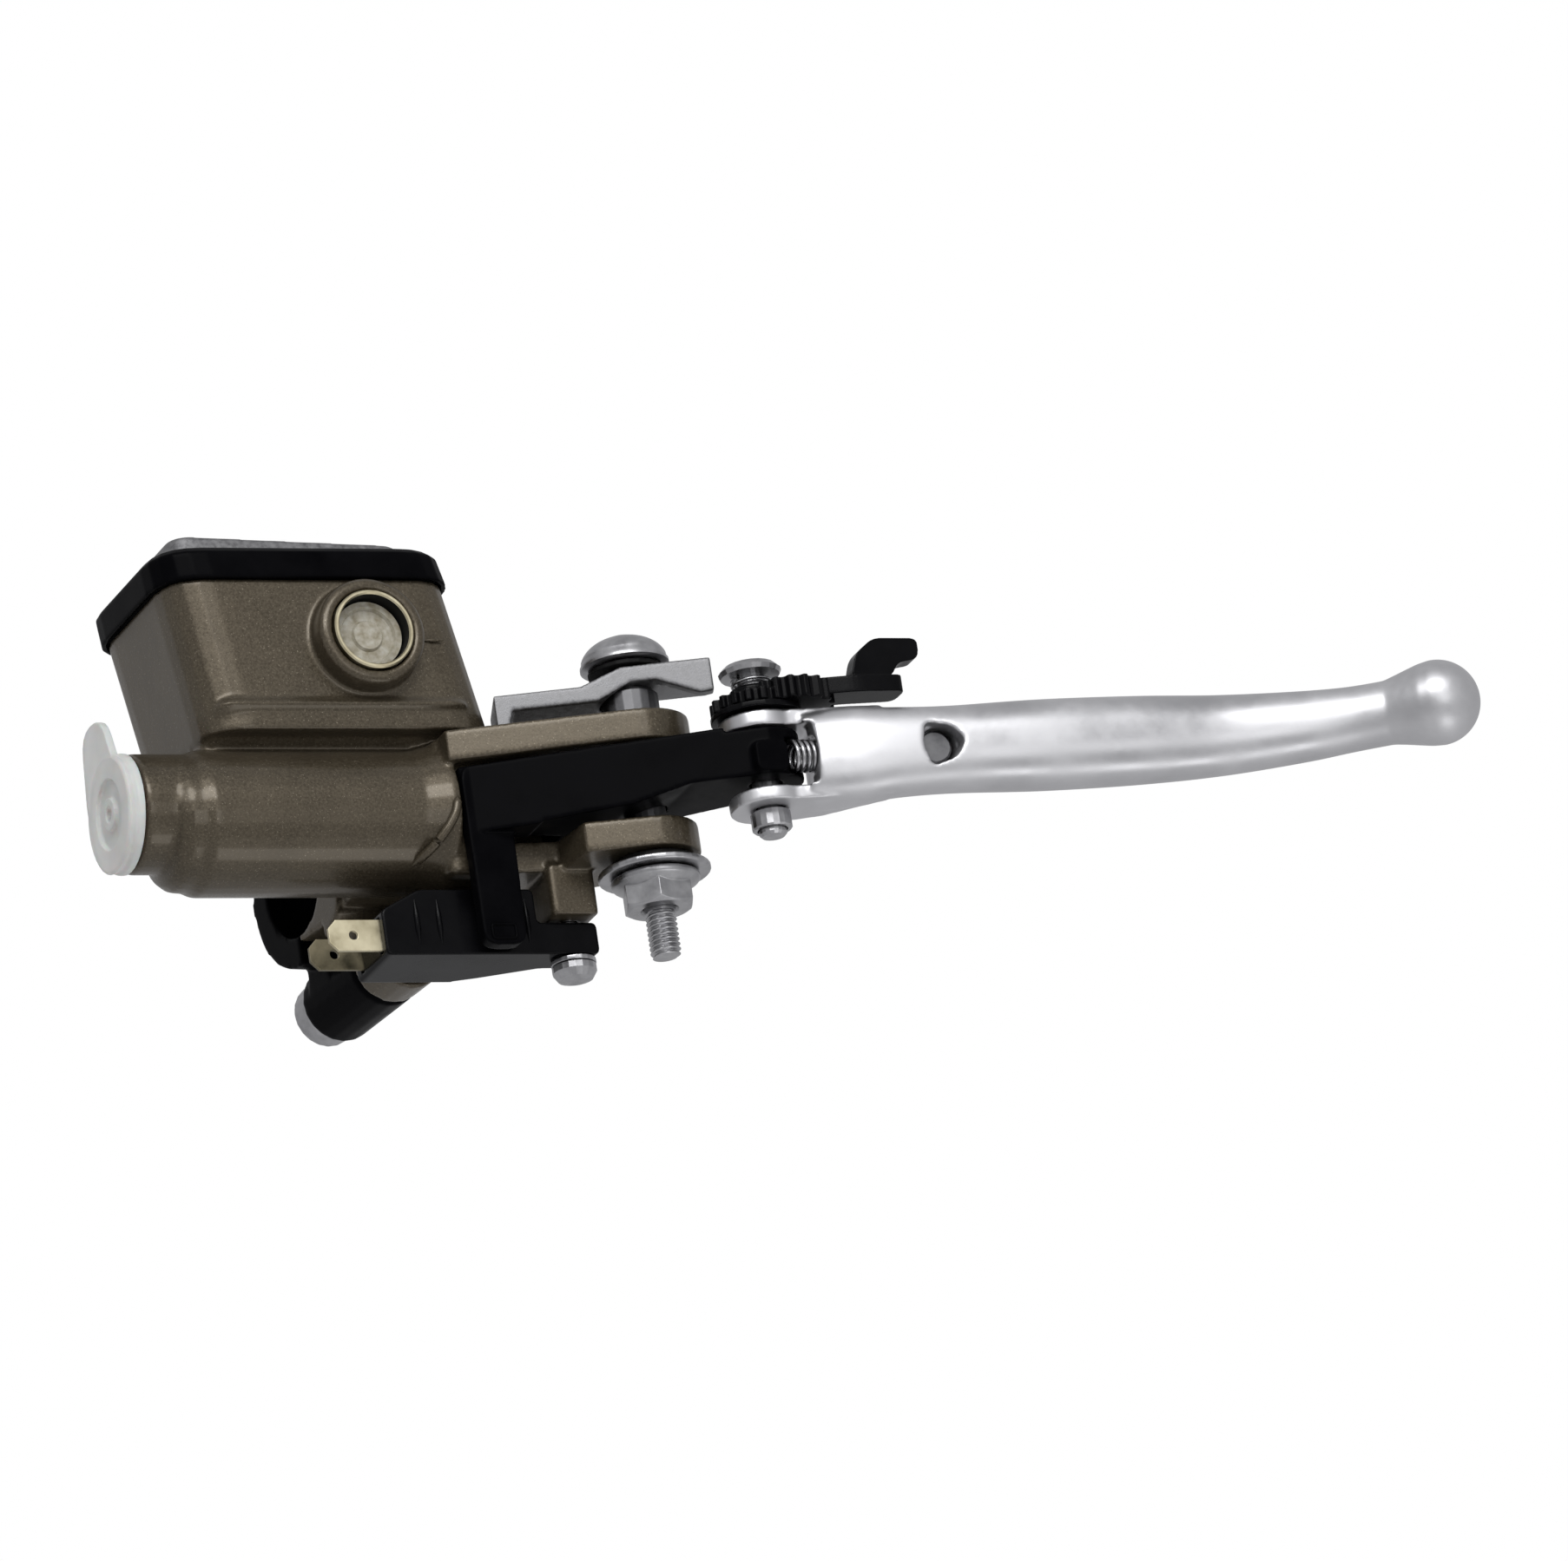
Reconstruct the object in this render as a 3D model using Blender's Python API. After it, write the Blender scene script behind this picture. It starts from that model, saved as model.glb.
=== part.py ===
"""Front brake master cylinder for a motorcycle, with its adjustable lever and brake-light switch.

Metres, +Z up. The origin is the centre of the handlebar clamp's bore. +X runs along the cylinder
towards the lever's tip, and -Y points away from the rider. Sizes below are in millimetres.
"""

import math

import bmesh
import bpy
from mathutils import Matrix, Vector

MM = 0.001
GAP = 0.3  # clearance between touching pieces
ROUND = 36  # sides of a large round piece
SMALL_ROUND = 20  # sides of a small round piece

# Driving dimensions
BAR_R = 11.1  # handlebar, 22.2 mm across
BORE_Y = -32.0  # cylinder bore axis
BORE_Z = 2.0
BORE_R = 6.35  # half-inch bore
BARREL_R = 14.0
COLLAR_R = 11.5
COLLAR_X = -56.0  # outlet end face
BARREL_X = -50.0  # where the thicker barrel starts
BARREL_END_X = 14.0  # mouth of the bore

PIVOT = (43.0, -49.0)  # lever pivot
EYE = (62.0, -64.0)  # blade pivot
LEVER_Z = -0.5  # middle of the blade
EAR_R = 10.6
EAR_LOW_R = 9.5
EAR_TOP = (7.4, 13.6)
EAR_LOW = (-13.9, -7.9)
KNUCKLE = (-7.3, 6.2)  # lever arm's height between the ears
ARM_X = 6.8  # left end of the lever arm
PIN_R = 3.9  # pivot bush inside the knuckle
BOLT_ROOM = 3.3  # hole for the 6 mm pivot bolt
PLATE_Z = 20.3  # underside of the bent plate where the pivot bolt holds it
PLATE_THICK = 3.4

RES_TOP_Z = 45.5
RES_LOW_Z = 15.0
RES_TOP = (-46.0, 12.0, -44.0, -3.0)  # x0, x1, y0, y1 at the rim
RES_LEAN = (4.6, 5.8)  # how far the left and right walls shift towards +X from rim to floor
RES_WALL = 3.0
SIGHT = (-7.7, 33.1)  # sight glass centre, X and Z
SIGHT_R = 8.3  # the window's recess

CLAMP_HALF = 11.5
CLAMP_R = 17.0
CLAMP_TURN = 6.0  # degrees between the handlebar and the cylinder
BOLT_X = 1.5
BOLT_Z = 20.5
BOSS_R = 7.6

# the clamp's two bolts: side, name, where the casting's boss starts, where the cap's boss meets it
SIDES = ((1, "upper", -12.0, 0.0), (-1, "lower", -18.7, -9.6))

SWITCH_Z = (-30.0, -16.0)
SWITCH_Y = (-42.0, -26.0)
SWITCH_SCREW = (28.3, -38.5, 0)  # axis of the screw that fixes the switch
LID_SCREWS = ((-35.5, "left"), (-1.5, "right"))  # X of the lid's two screws
LID_SCREW_Y = -23.5


def clear_scene():
    for obj in list(bpy.data.objects):
        bpy.data.objects.remove(obj, do_unlink=True)


def material(name, colour, roughness, metallic=0.0):
    made = bpy.data.materials.new(name)
    made.use_nodes = True
    shader = made.node_tree.nodes["Principled BSDF"]
    shader.inputs["Base Color"].default_value = (*colour, 1.0)
    shader.inputs["Roughness"].default_value = roughness
    shader.inputs["Metallic"].default_value = metallic
    return made


def object_from(name, bm, look=None, parent=None, helper=False):
    """Makes an object from a bmesh in millimetres, with its origin on the parent's origin."""
    bmesh.ops.remove_doubles(bm, verts=bm.verts, dist=1e-4)
    bmesh.ops.recalc_face_normals(bm, faces=bm.faces)
    shift = Vector(parent.location) if parent else Vector((0, 0, 0))
    for vert in bm.verts:
        vert.co = vert.co * MM - shift
    mesh = bpy.data.meshes.new(name)
    bm.to_mesh(mesh)
    bm.free()
    mesh.shade_smooth()
    mesh.set_sharp_from_angle(angle=math.radians(35))
    obj = bpy.data.objects.new(name, mesh)
    bpy.context.scene.collection.objects.link(obj)
    if look:
        mesh.materials.append(look)
    if parent:
        obj.parent = parent
    if helper:
        obj.hide_render = True
        obj.display_type = "WIRE"
    return obj


def combine(target, other, operation):
    step = target.modifiers.new(other.name, "BOOLEAN")
    step.operation = operation
    step.object = other
    step.solver = "EXACT"


def pivot_empty(name, x, y, z):
    empty = bpy.data.objects.new(name, None)
    empty.location = (x * MM, y * MM, z * MM)
    bpy.context.scene.collection.objects.link(empty)
    return empty


# Meshes, in millimetres


def arc(cx, cy, radius, start, end, steps):
    """Points on an arc, in degrees."""
    found = []
    for i in range(steps + 1):
        turn = math.radians(start + (end - start) * i / steps)
        found.append((cx + radius * math.cos(turn), cy + radius * math.sin(turn)))
    return found


def rounded(points, radius, steps=4):
    """The outline with each corner replaced by an arc-like curve."""
    found = []
    count = len(points)
    for i, point in enumerate(points):
        here = Vector(point)
        before = Vector(points[i - 1])
        after = Vector(points[(i + 1) % count])
        reach = min(radius, 0.45 * (before - here).length, 0.45 * (after - here).length)
        start = here + (before - here).normalized() * reach
        end = here + (after - here).normalized() * reach
        for k in range(steps + 1):
            t = k / steps
            spot = start * (1 - t) ** 2 + here * 2 * t * (1 - t) + end * t**2
            found.append((spot.x, spot.y))
    return found


def rectangle(x0, x1, y0, y1):
    return [(x0, y0), (x1, y0), (x1, y1), (x0, y1)]


def loft(rings):
    """A closed solid through rings of 3-D points, each ring with the same number of points."""
    bm = bmesh.new()
    loops = [[bm.verts.new(point) for point in ring] for ring in rings]
    count = len(rings[0])
    for low, high in zip(loops, loops[1:]):
        for i in range(count):
            j = (i + 1) % count
            bm.faces.new((low[i], low[j], high[j], high[i]))
    bm.faces.new(list(reversed(loops[0])))
    bm.faces.new(loops[-1])
    return bm


def prism(outline, z0, z1):
    """An XY outline extruded along Z."""
    return loft([[(x, y, z) for x, y in outline] for z in (z0, z1)])


def prism_y(outline, y0, y1):
    """An XZ outline extruded along Y."""
    return loft([[(x, y, z) for x, z in outline] for y in (y0, y1)])


def prism_x(outline, x0, x1):
    """A YZ outline extruded along X."""
    return loft([[(x, y, z) for y, z in outline] for x in (x0, x1)])


def box(x0, x1, y0, y1, z0, z1, radius=0.0):
    outline = rectangle(x0, x1, y0, y1)
    if radius:
        outline = rounded(outline, radius)
    return prism(outline, z0, z1)


def turned(profile, centre, axis, sides=ROUND):
    """A solid of revolution: profile is (distance along axis, radius) pairs, from one end to the other."""
    ways = {"X": ((0, 1, 0), (0, 0, 1)), "Y": ((0, 0, 1), (1, 0, 0)), "Z": ((1, 0, 0), (0, 1, 0))}
    along = Vector({"X": (1, 0, 0), "Y": (0, 1, 0), "Z": (0, 0, 1)}[axis])
    side, up = (Vector(way) for way in ways[axis])
    origin = Vector(centre)
    rings = []
    for distance, radius in profile:
        ring = []
        for i in range(sides):
            turn = math.tau * i / sides
            spoke = side * math.cos(turn) + up * math.sin(turn)
            ring.append(origin + along * distance + spoke * radius)
        rings.append(ring)
    return loft(rings)


def rod(x0, x1, radius, centre, axis, sides=ROUND, edge=0.0):
    """A plain cylinder, with its ends chamfered by edge."""
    if edge:
        profile = [(x0, radius - edge), (x0 + edge, radius), (x1 - edge, radius), (x1, radius - edge)]
    else:
        profile = [(x0, radius), (x1, radius)]
    return turned(profile, centre, axis, sides)


def ring(x0, x1, inner, outer, centre, axis, sides=ROUND, edge=0.0):
    """A washer or tube, with its outer edges chamfered by edge."""
    if edge:
        outside = [(x0, outer - edge), (x0 + edge, outer), (x1 - edge, outer), (x1, outer - edge)]
    else:
        outside = [(x0, outer), (x1, outer)]
    return hoop([(x0, inner), *outside, (x1, inner)], centre, axis, sides)


def hoop(profile, centre, axis, sides=ROUND):
    """A closed profile, (distance along axis, radius) pairs, swept right round the axis."""
    bm = turned(profile, centre, axis, sides)
    bm.faces.ensure_lookup_table()
    ends = [face for face in bm.faces if len(face.verts) == sides]
    first = list(ends[0].verts)
    last = list(ends[1].verts)
    bmesh.ops.delete(bm, geom=ends, context="FACES_ONLY")
    ends = (set(first), set(last))
    edges = [e for e in bm.edges if e.is_boundary and any(set(e.verts) <= end for end in ends)]
    bmesh.ops.bridge_loops(bm, edges=edges)
    return bm


def coil(x0, x1, radius, wire, turns, centre, axis, sides=8, per_turn=14):
    """A spring: a round wire wound along the axis."""
    along, side, up = {
        "X": ((1, 0, 0), (0, 1, 0), (0, 0, 1)),
        "Z": ((0, 0, 1), (1, 0, 0), (0, 1, 0)),
    }[axis]
    along, side, up = Vector(along), Vector(side), Vector(up)
    rings = []
    steps = int(turns * per_turn)
    for i in range(steps + 1):
        share = i / steps
        turn = math.tau * turns * share
        spoke = side * math.cos(turn) + up * math.sin(turn)
        middle = Vector(centre) + along * (x0 + (x1 - x0) * share) + spoke * radius
        section = []
        for k in range(sides):
            lean = math.tau * k / sides
            section.append(middle + (spoke * math.cos(lean) + along * math.sin(lean)) * wire)
        rings.append(section)
    return loft(rings)


def hexagon(cx, cy, across_flats, turn=0.0):
    radius = across_flats / math.sqrt(3)
    return arc(cx, cy, radius, turn, turn + 300, 5)


def add_cut(target, name, bm):
    combine(target, object_from(name, bm, helper=True), "DIFFERENCE")


def add_join(target, name, bm):
    combine(target, object_from(name, bm, helper=True), "UNION")


def turned_clamp(bm):
    """Turns a mesh made square to the handlebar by the clamp's angle to the cylinder."""
    turn = Matrix.Rotation(math.radians(CLAMP_TURN), 3, "Z")
    bmesh.ops.rotate(bm, verts=bm.verts, cent=(0, 0, 0), matrix=turn)
    return bm


# The cast body


def reservoir_ring(z, inset, steps=5):
    """The reservoir's outline at height z, moved in by inset."""
    share = (RES_TOP_Z - z) / (RES_TOP_Z - RES_LOW_Z)
    x0, x1, y0, y1 = RES_TOP
    left = x0 + RES_LEAN[0] * share
    right = x1 + RES_LEAN[1] * share
    outline = rectangle(left + inset, right - inset, y0 + inset, y1 - share - inset)
    outline = rounded(outline, 9.0 - inset, steps)
    return [(x, y, z) for x, y in outline]


def ear_outline():
    """The ears seen from above: straight flanks running to a round end about the pivot."""
    return [(5.0, -47.0)] + arc(*PIVOT, EAR_R, -108, 60, 14) + [(20.0, -24.0), (5.0, -20.0)]


def low_ear_outline():
    """The lower ear is set back on the left, clear of the lever arm's leg."""
    left = [(26.0, -44.0), (27.5, -54.4)]
    right = [(20.0, -24.0), (5.0, -20.0), (5.0, -42.0)]
    return left + arc(*PIVOT, EAR_LOW_R, -108, 60, 14) + right


def body_casting(look):
    axis = (0, BORE_Y, 0)
    profile = [
        (BARREL_X, 10.0),
        (BARREL_X + 0.8, 11.8),
        (BARREL_X + 2.6, 13.0),
        (BARREL_X + 5.2, 13.2),
        (BARREL_X + 7.0, BARREL_R),
        (0, BARREL_R),
        (5, 15.4),
        (BARREL_END_X, 15.4),
    ]
    body = object_from("body_casting", turned(profile, axis, "X"), look)
    add_join(body, "collar", rod(COLLAR_X, BARREL_X + 6, COLLAR_R, (0, BORE_Y, BORE_Z), "X", ROUND, 0.6))
    add_join(body, "ear_top", prism(ear_outline(), *EAR_TOP))
    add_join(body, "ear_low", prism(low_ear_outline(), *EAR_LOW))
    web = rounded(rectangle(4.0, BARREL_END_X - 0.2, -43.0, -20.5), 2.0)
    add_join(body, "ear_web", prism(web, EAR_LOW[0] + 0.4, EAR_TOP[1] - 0.4))
    add_join(body, "switch_lug", box(23, 32.4, -45, -33, -23.0, EAR_LOW[0] + 1, 1.0))
    # reservoir shell with the saddle that carries it on the barrel
    shell = loft([reservoir_ring(RES_LOW_Z, 0), reservoir_ring(RES_TOP_Z, 0)])
    add_join(body, "reservoir_shell", shell)
    saddle_levels = ((5, -41.5, -33.0), (12.5, -41.5, -37.4), (19.8, -39.6, -45.2), (22.0, -38.6, -43.6))
    saddle = [
        [(x, y, z) for x, y in rounded(rectangle(left, BARREL_END_X - 1.6, front, -14), 4.0)]
        for z, left, front in saddle_levels
    ]
    add_join(body, "saddle", loft(saddle))
    # sight glass boss
    sx, sz = SIGHT
    add_join(body, "sight_boss", rod(-49.4, -38, 10.8, (sx, 0, sz), "Y", ROUND, 0.9))
    # the half of the handlebar clamp that is cast with the body, and its two bosses
    half = [(-17.0, -13.0), (-4.0, -CLAMP_R), (6.0, -CLAMP_R), (6.0, CLAMP_R), (-17.0, CLAMP_R)]
    half = rounded(half, 4.0)
    add_join(body, "clamp_half", turned_clamp(prism_x(half, -CLAMP_HALF, CLAMP_HALF)))
    for side, name, start, _ in SIDES:
        boss = turned_clamp(rod(start, 4, BOSS_R, (BOLT_X, 0, side * BOLT_Z), "Y", SMALL_ROUND))
        add_join(body, "boss_" + name, boss)
        add_join(body, "boss_web_" + name, clamp_web(side, -12, 4))
    add_join(body, "clamp_neck", box(-8.5, 8.5, -30, -9, -11, 14))
    add_cut(body, "clamp_parting", turned_clamp(box(-20, 20, 0, 30, -40, 40)))
    # the cap's lower boss reaches past the parting line, so the casting stops short of it
    lower_meeting = SIDES[1][3]
    add_cut(body, "lower_boss_room", turned_clamp(box(-20, 20, lower_meeting, 10, -40, BOSS_R - BOLT_Z + 0.35)))
    # openings
    room = loft([reservoir_ring(19.0, RES_WALL), reservoir_ring(RES_TOP_Z + 2, RES_WALL)])
    add_cut(body, "reservoir_room", room)
    add_cut(body, "bore", rod(-50, BARREL_END_X + 12, BORE_R, (0, BORE_Y, BORE_Z), "X"))
    add_cut(body, "boot_seat", rod(BARREL_END_X - 5, BARREL_END_X + 12, 8.6, (0, BORE_Y, BORE_Z), "X"))
    add_cut(body, "outlet", rod(COLLAR_X - 2, -48, 5.0, (0, BORE_Y, BORE_Z), "X", SMALL_ROUND))
    add_cut(body, "feed_port", rod(4, 20, 1.5, (-14, BORE_Y, 0), "Z", 12))
    add_cut(body, "sight_window", rod(-52, -42.4, SIGHT_R, (sx, 0, sz), "Y"))
    add_cut(body, "sight_hole", rod(-43, -37, SIGHT_R - 2.6, (sx, 0, sz), "Y"))
    add_cut(body, "bar_bore", turned_clamp(rod(-30, 30, BAR_R, (0, 0, 0), "X")))
    for side, name, start, _ in SIDES:
        hole = turned_clamp(rod(start - 1, 2, 3.4, (BOLT_X, 0, side * BOLT_Z), "Y", SMALL_ROUND))
        add_cut(body, "bolt_hole_" + name, hole)
    add_cut(body, "pivot_hole", rod(-20, 16, 3.3, (*PIVOT, 0), "Z", SMALL_ROUND))
    add_cut(body, "knuckle_room", knuckle_room())
    add_cut(body, "leg_room", box(ARM_X - 0.4, 22.5, -60, -43.9, -40, EAR_TOP[0]))
    # a wall that closes the back of the slot, behind the lever arm's nose
    slot_back = [(22.6, -27.4), (22.6, -23.9), (25.0, -23.9), (31.0, -27.4)]
    add_join(body, "slot_back", prism(slot_back, EAR_LOW[0] + 1, EAR_TOP[1] - 1))
    add_cut(body, "lug_hole", rod(-26, -17, 1.75, SWITCH_SCREW, "Z", 16))
    for x, name in LID_SCREWS:
        post_axis = (x, LID_SCREW_Y, 0)
        add_join(body, "post_" + name, rod(18, RES_TOP_Z - 1.0, 3.6, post_axis, "Z", 16))
        add_cut(body, "post_hole_" + name, rod(30, RES_TOP_Z + 2, 1.75, post_axis, "Z", 12))
    return body


def knuckle_room():
    """The slot between the ears, wide enough for the lever arm through its whole swing."""
    return box(BARREL_END_X + 0.2, 70, -70, -20, EAR_LOW[1], EAR_TOP[0])


def clamp_web(side, y0, y1):
    """Joins a clamp boss to the ring round the handlebar."""
    low, high = sorted((side * (CLAMP_R - 5), side * BOLT_Z))
    return turned_clamp(box(BOLT_X - BOSS_R, BOLT_X + BOSS_R, y0, y1, low, high))


def reservoir_cover(looks):
    """Diaphragm, lid, its raised plate and two screws."""
    rim = RES_TOP_Z
    sheet = loft([reservoir_ring(rim + GAP, 0.6), reservoir_ring(rim + 1.7, 0.6)])
    soft = object_from("diaphragm", sheet, looks["rubber"])
    lid = object_from(
        "reservoir_lid",
        loft(
            [
                reservoir_ring(rim - 0.2, -1.3),
                reservoir_ring(rim + 5.2, -1.0),
                reservoir_ring(rim + 6.6, 0.6),
            ]
        ),
        looks["black"],
    )
    add_cut(lid, "lid_hollow", loft([reservoir_ring(rim - 1, -0.3), reservoir_ring(rim + 2.0, -0.3)]))
    x0, x1, y0, y1 = RES_TOP
    foot = rounded(rectangle(x0 + 3.5, x1 - 6, y0 + 5, y1 - 5), 5.0)
    crown = rounded(rectangle(x0 + 4.5, x1 - 7, y0 + 6, y1 - 6), 4.5)
    slope = 2.2 / (x1 - x0)  # the plate's top rises towards -X
    top = [
        [(x, y, rim + 6.6 + GAP) for x, y in foot],
        [(x, y, rim + 9.0 + slope * (x1 - x)) for x, y in crown],
    ]
    plate = object_from("lid_top_plate", loft(top), looks["grey"])
    seat = rim + 6.6 + GAP
    profile = [(rim - 8.0, 1.4), (seat, 1.4), (seat + 0.01, 3.2), (rim + 8.2, 3.2), (rim + 8.7, 2.6)]
    for x, name in LID_SCREWS:
        screw_axis = (x, LID_SCREW_Y, 0)
        head_seat = rod(rim + 6, rim + 14, 3.6, screw_axis, "Z", SMALL_ROUND)
        add_cut(plate, "head_seat_" + name, head_seat)
        for target in (soft, lid):
            way = rod(rim - 1, rim + 9, 2.2, screw_axis, "Z", 16)
            add_cut(target, "screw_way_" + name + target.name, way)
        screw = turned(profile, screw_axis, "Z", SMALL_ROUND)
        object_from("lid_screw_" + name, screw, looks["zinc"])


def sight_glass(looks):
    """A pressed ring, the window behind it and the seal that the window rests on."""
    sx, sz = SIGHT
    centre = (sx, 0, sz)
    fit = SIGHT_R - GAP
    object_from("sight_ring", ring(-50.0, -45.0, fit - 0.9, fit, centre, "Y"), looks["brass"])
    lens = [(-46.6, 5.6), (-45.8, 6.7), (-44.0, 6.7)]
    object_from("sight_lens", turned(lens, centre, "Y"), looks["lens"])
    object_from("sight_seal", ring(-43.7, -42.7, 5.9, fit, centre, "Y"), looks["rubber"])


def outlet_plug(looks):
    """The soft transit plug in the hose port, with its pull tab."""
    centre = (0, BORE_Y, BORE_Z)
    front = COLLAR_X - GAP
    head = [
        (front - 3.3, COLLAR_R - 0.6),
        (front - 2.9, COLLAR_R),
        (front - 1.9, COLLAR_R - 0.5),
        (front - 1.2, COLLAR_R + 0.1),
        (front, COLLAR_R + 0.1),
    ]
    plug = object_from("outlet_plug", turned(head, centre, "X"), looks["plug"])
    tab_points = [(BORE_Y - 6.5, 8.0), (BORE_Y - 1.5, 21.4), (BORE_Y + 9.0, 21.4), (BORE_Y + COLLAR_R, 3.0)]
    tab = rounded(tab_points, 5.0)
    add_join(plug, "plug_tab", prism_x(tab, front - 3.2, front - 1.7))
    add_join(plug, "plug_stem", rod(front - 1, front + 6.5, 4.6, centre, "X", SMALL_ROUND, 0.6))
    add_cut(plug, "plug_dish", ring(front - 5, front - 2.4, 3.2, 6.8, centre, "X", SMALL_ROUND))
    add_cut(plug, "plug_hole", rod(front - 5, front + 3, 1.5, centre, "X", 16))


def cylinder_insides(looks, moving):
    """The piston, its cups and spring, which slide, and the parts that hold them in."""
    centre = (0, BORE_Y, BORE_Z)
    fit = BORE_R - GAP
    groove = fit - 1.8  # radius under the cups
    rod_r = 4.2  # the piston's rod, which the lever arm's nose pushes
    profile = [
        (-20, 2.2),
        (-20, groove),
        (-17, groove),
        (-17, fit),
        (2.0, fit),
        (2.0, groove),
        (5.0, groove),
        (5.0, fit),
        (9.5, fit),
        (9.5, rod_r),
        (25.6, rod_r),
        (26.2, rod_r - 0.6),
    ]
    object_from("piston", turned(profile, centre, "X", SMALL_ROUND), looks["aluminium"], moving)
    for x0, x1, name in ((-19.7, -17.3, "primary_cup"), (2.3, 4.7, "secondary_cup")):
        cup = ring(x0, x1, groove + GAP, fit, centre, "X", SMALL_ROUND)
        object_from(name, cup, looks["rubber"], moving)
    spring = coil(-48.6, -21.0, 4.2, 0.5, 7, centre, "X", 6, 10)
    object_from("return_spring", spring, looks["steel"], moving)
    object_from("stop_washer", ring(10.0, 10.8, 4.5, 8.3, centre, "X", SMALL_ROUND), looks["steel"])
    clip = object_from("circlip", ring(11.2, 12.2, 6.4, 8.3, centre, "X", SMALL_ROUND), looks["steel"])
    add_cut(clip, "circlip_gap", box(10, 13, BORE_Y - 1.5, BORE_Y + 1.5, BORE_Z - 10, BORE_Z - 4))
    boot = [(12.6, 4.6), (12.6, 8.2), (14.0, 8.2), (16.0, 7.4)]
    boot += [(18.0, 7.8), (20.0, 6.2), (22.0, 5.6), (22.0, 4.6)]
    object_from("dust_boot", hoop(boot, centre, "X", SMALL_ROUND), looks["rubber"])


def clamp(looks):
    outline = [(GAP, -CLAMP_R)] + arc(0, 0, CLAMP_R, -84, 84, 20) + [(GAP, CLAMP_R)]
    cap = object_from("clamp_cap", turned_clamp(prism_x(outline, -CLAMP_HALF, CLAMP_HALF)), looks["black"])
    for side, name, _, meeting in SIDES:
        centre = (BOLT_X, 0, side * BOLT_Z)
        boss = turned_clamp(rod(meeting + GAP, 13.0, BOSS_R, centre, "Y", SMALL_ROUND, 0.8))
        add_join(cap, "cap_boss_" + name, boss)
        add_join(cap, "cap_web_" + name, clamp_web(side, GAP, 9.0))
    add_cut(cap, "cap_bore", turned_clamp(rod(-30, 30, BAR_R, (0, 0, 0), "X")))
    seat = 13.0 + GAP
    bolt_head = [(seat, 3.0), (seat + 0.01, 6.4), (18.4, 6.4), (19.0, 5.8)]
    for side, name, start, meeting in SIDES:
        centre = (BOLT_X, 0, side * BOLT_Z)
        way = turned_clamp(rod(meeting - 2, 15, 3.4, centre, "Y", SMALL_ROUND))
        add_cut(cap, "cap_hole_" + name, way)
        bolt_profile = [(start + 1.0, 2.6), (start + 1.4, 3.0)] + bolt_head
        bolt = turned_clamp(turned(bolt_profile, centre, "Y", SMALL_ROUND))
        made = object_from("clamp_bolt_" + name, bolt, looks["zinc"])
        socket = prism_y(hexagon(BOLT_X, side * BOLT_Z, 5.0), 15.5, 21)
        add_cut(made, "bolt_socket_" + name, turned_clamp(socket))


def brake_switch(looks, plunger_pivot):
    """Switch housing under the barrel, its two blades, plunger and fixing screw."""
    y0, y1 = SWITCH_Y
    z0, z1 = SWITCH_Z
    lug_top = z0 + 6.3  # the flat that the casting's lug rests on
    roof = z1 - 0.9
    outline = [(-11, z0), (32.6, z0), (32.6, lug_top), (20.5, lug_top), (20.5, roof), (-3, roof), (-11, z1 - 5)]
    outline = rounded(outline, 1.0, 3)
    housing = object_from("switch_housing", prism_y(outline, y0, y1), looks["plastic"])
    # the back wall runs forward to the lug in a bow
    behind = [(6.0, -20), (8.0, -26.4), (12.0, -28.0), (16.5, -30.2), (23.0, -33.4), (34.0, -34.0), (34.0, -20)]
    add_cut(housing, "back_bow", prism(behind, z0 - 5, z1 + 5))
    add_cut(housing, "switch_screw_way", rod(z0 - 2, z0 + 9, 1.9, SWITCH_SCREW, "Z", 16))
    add_cut(housing, "plunger_way", rod(y0 - 2, y0 + 8, 2.3, (13.5, 0, -24), "Y", SMALL_ROUND))
    for y, x0, name in ((-39.6, -21.5, "front"), (-29.0, -21.5, "back")):
        way = box(x0, -8, y - 0.75, y + 0.75, -28.9, -21.9)
        add_cut(housing, "blade_slot_" + name, way)
        tip = [(x0 + 1.6, -22.3), (x0, -24.0), (x0, -26.8), (x0 + 1.6, -28.5)]
        blade_outline = tip + [(-8.6, -28.5), (-8.6, -22.3)]
        blade = object_from("terminal_" + name, prism_y(blade_outline, y - 0.4, y + 0.4), looks["brass"])
        add_cut(blade, "terminal_eye_" + name, rod(y - 2, y + 2, 0.9, (x0 + 5.0, 0, -25.4), "Y", 12))
    plunger = turned([(y0 - 2.0, 1.3), (y0 - 1.5, 1.9), (y0 + 5.5, 1.9)], (13.5, 0, -24), "Y", SMALL_ROUND)
    object_from("switch_plunger", plunger, looks["plastic"], plunger_pivot)
    low = z0 - GAP
    washer = ring(low - 0.9, low, 1.9, 4.4, SWITCH_SCREW, "Z", SMALL_ROUND)
    object_from("switch_washer", washer, looks["zinc"])
    head = low - 0.9 - GAP
    profile = [(head - 3.2, 1.6), (head - 2.6, 3.4), (head - 1.2, 4.3), (head, 4.3)]
    profile += [(head + 0.01, 1.5), (-19.0, 1.5)]
    screw = turned(profile, SWITCH_SCREW, "Z", SMALL_ROUND)
    object_from("switch_screw", screw, looks["zinc"])


# The lever group


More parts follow.
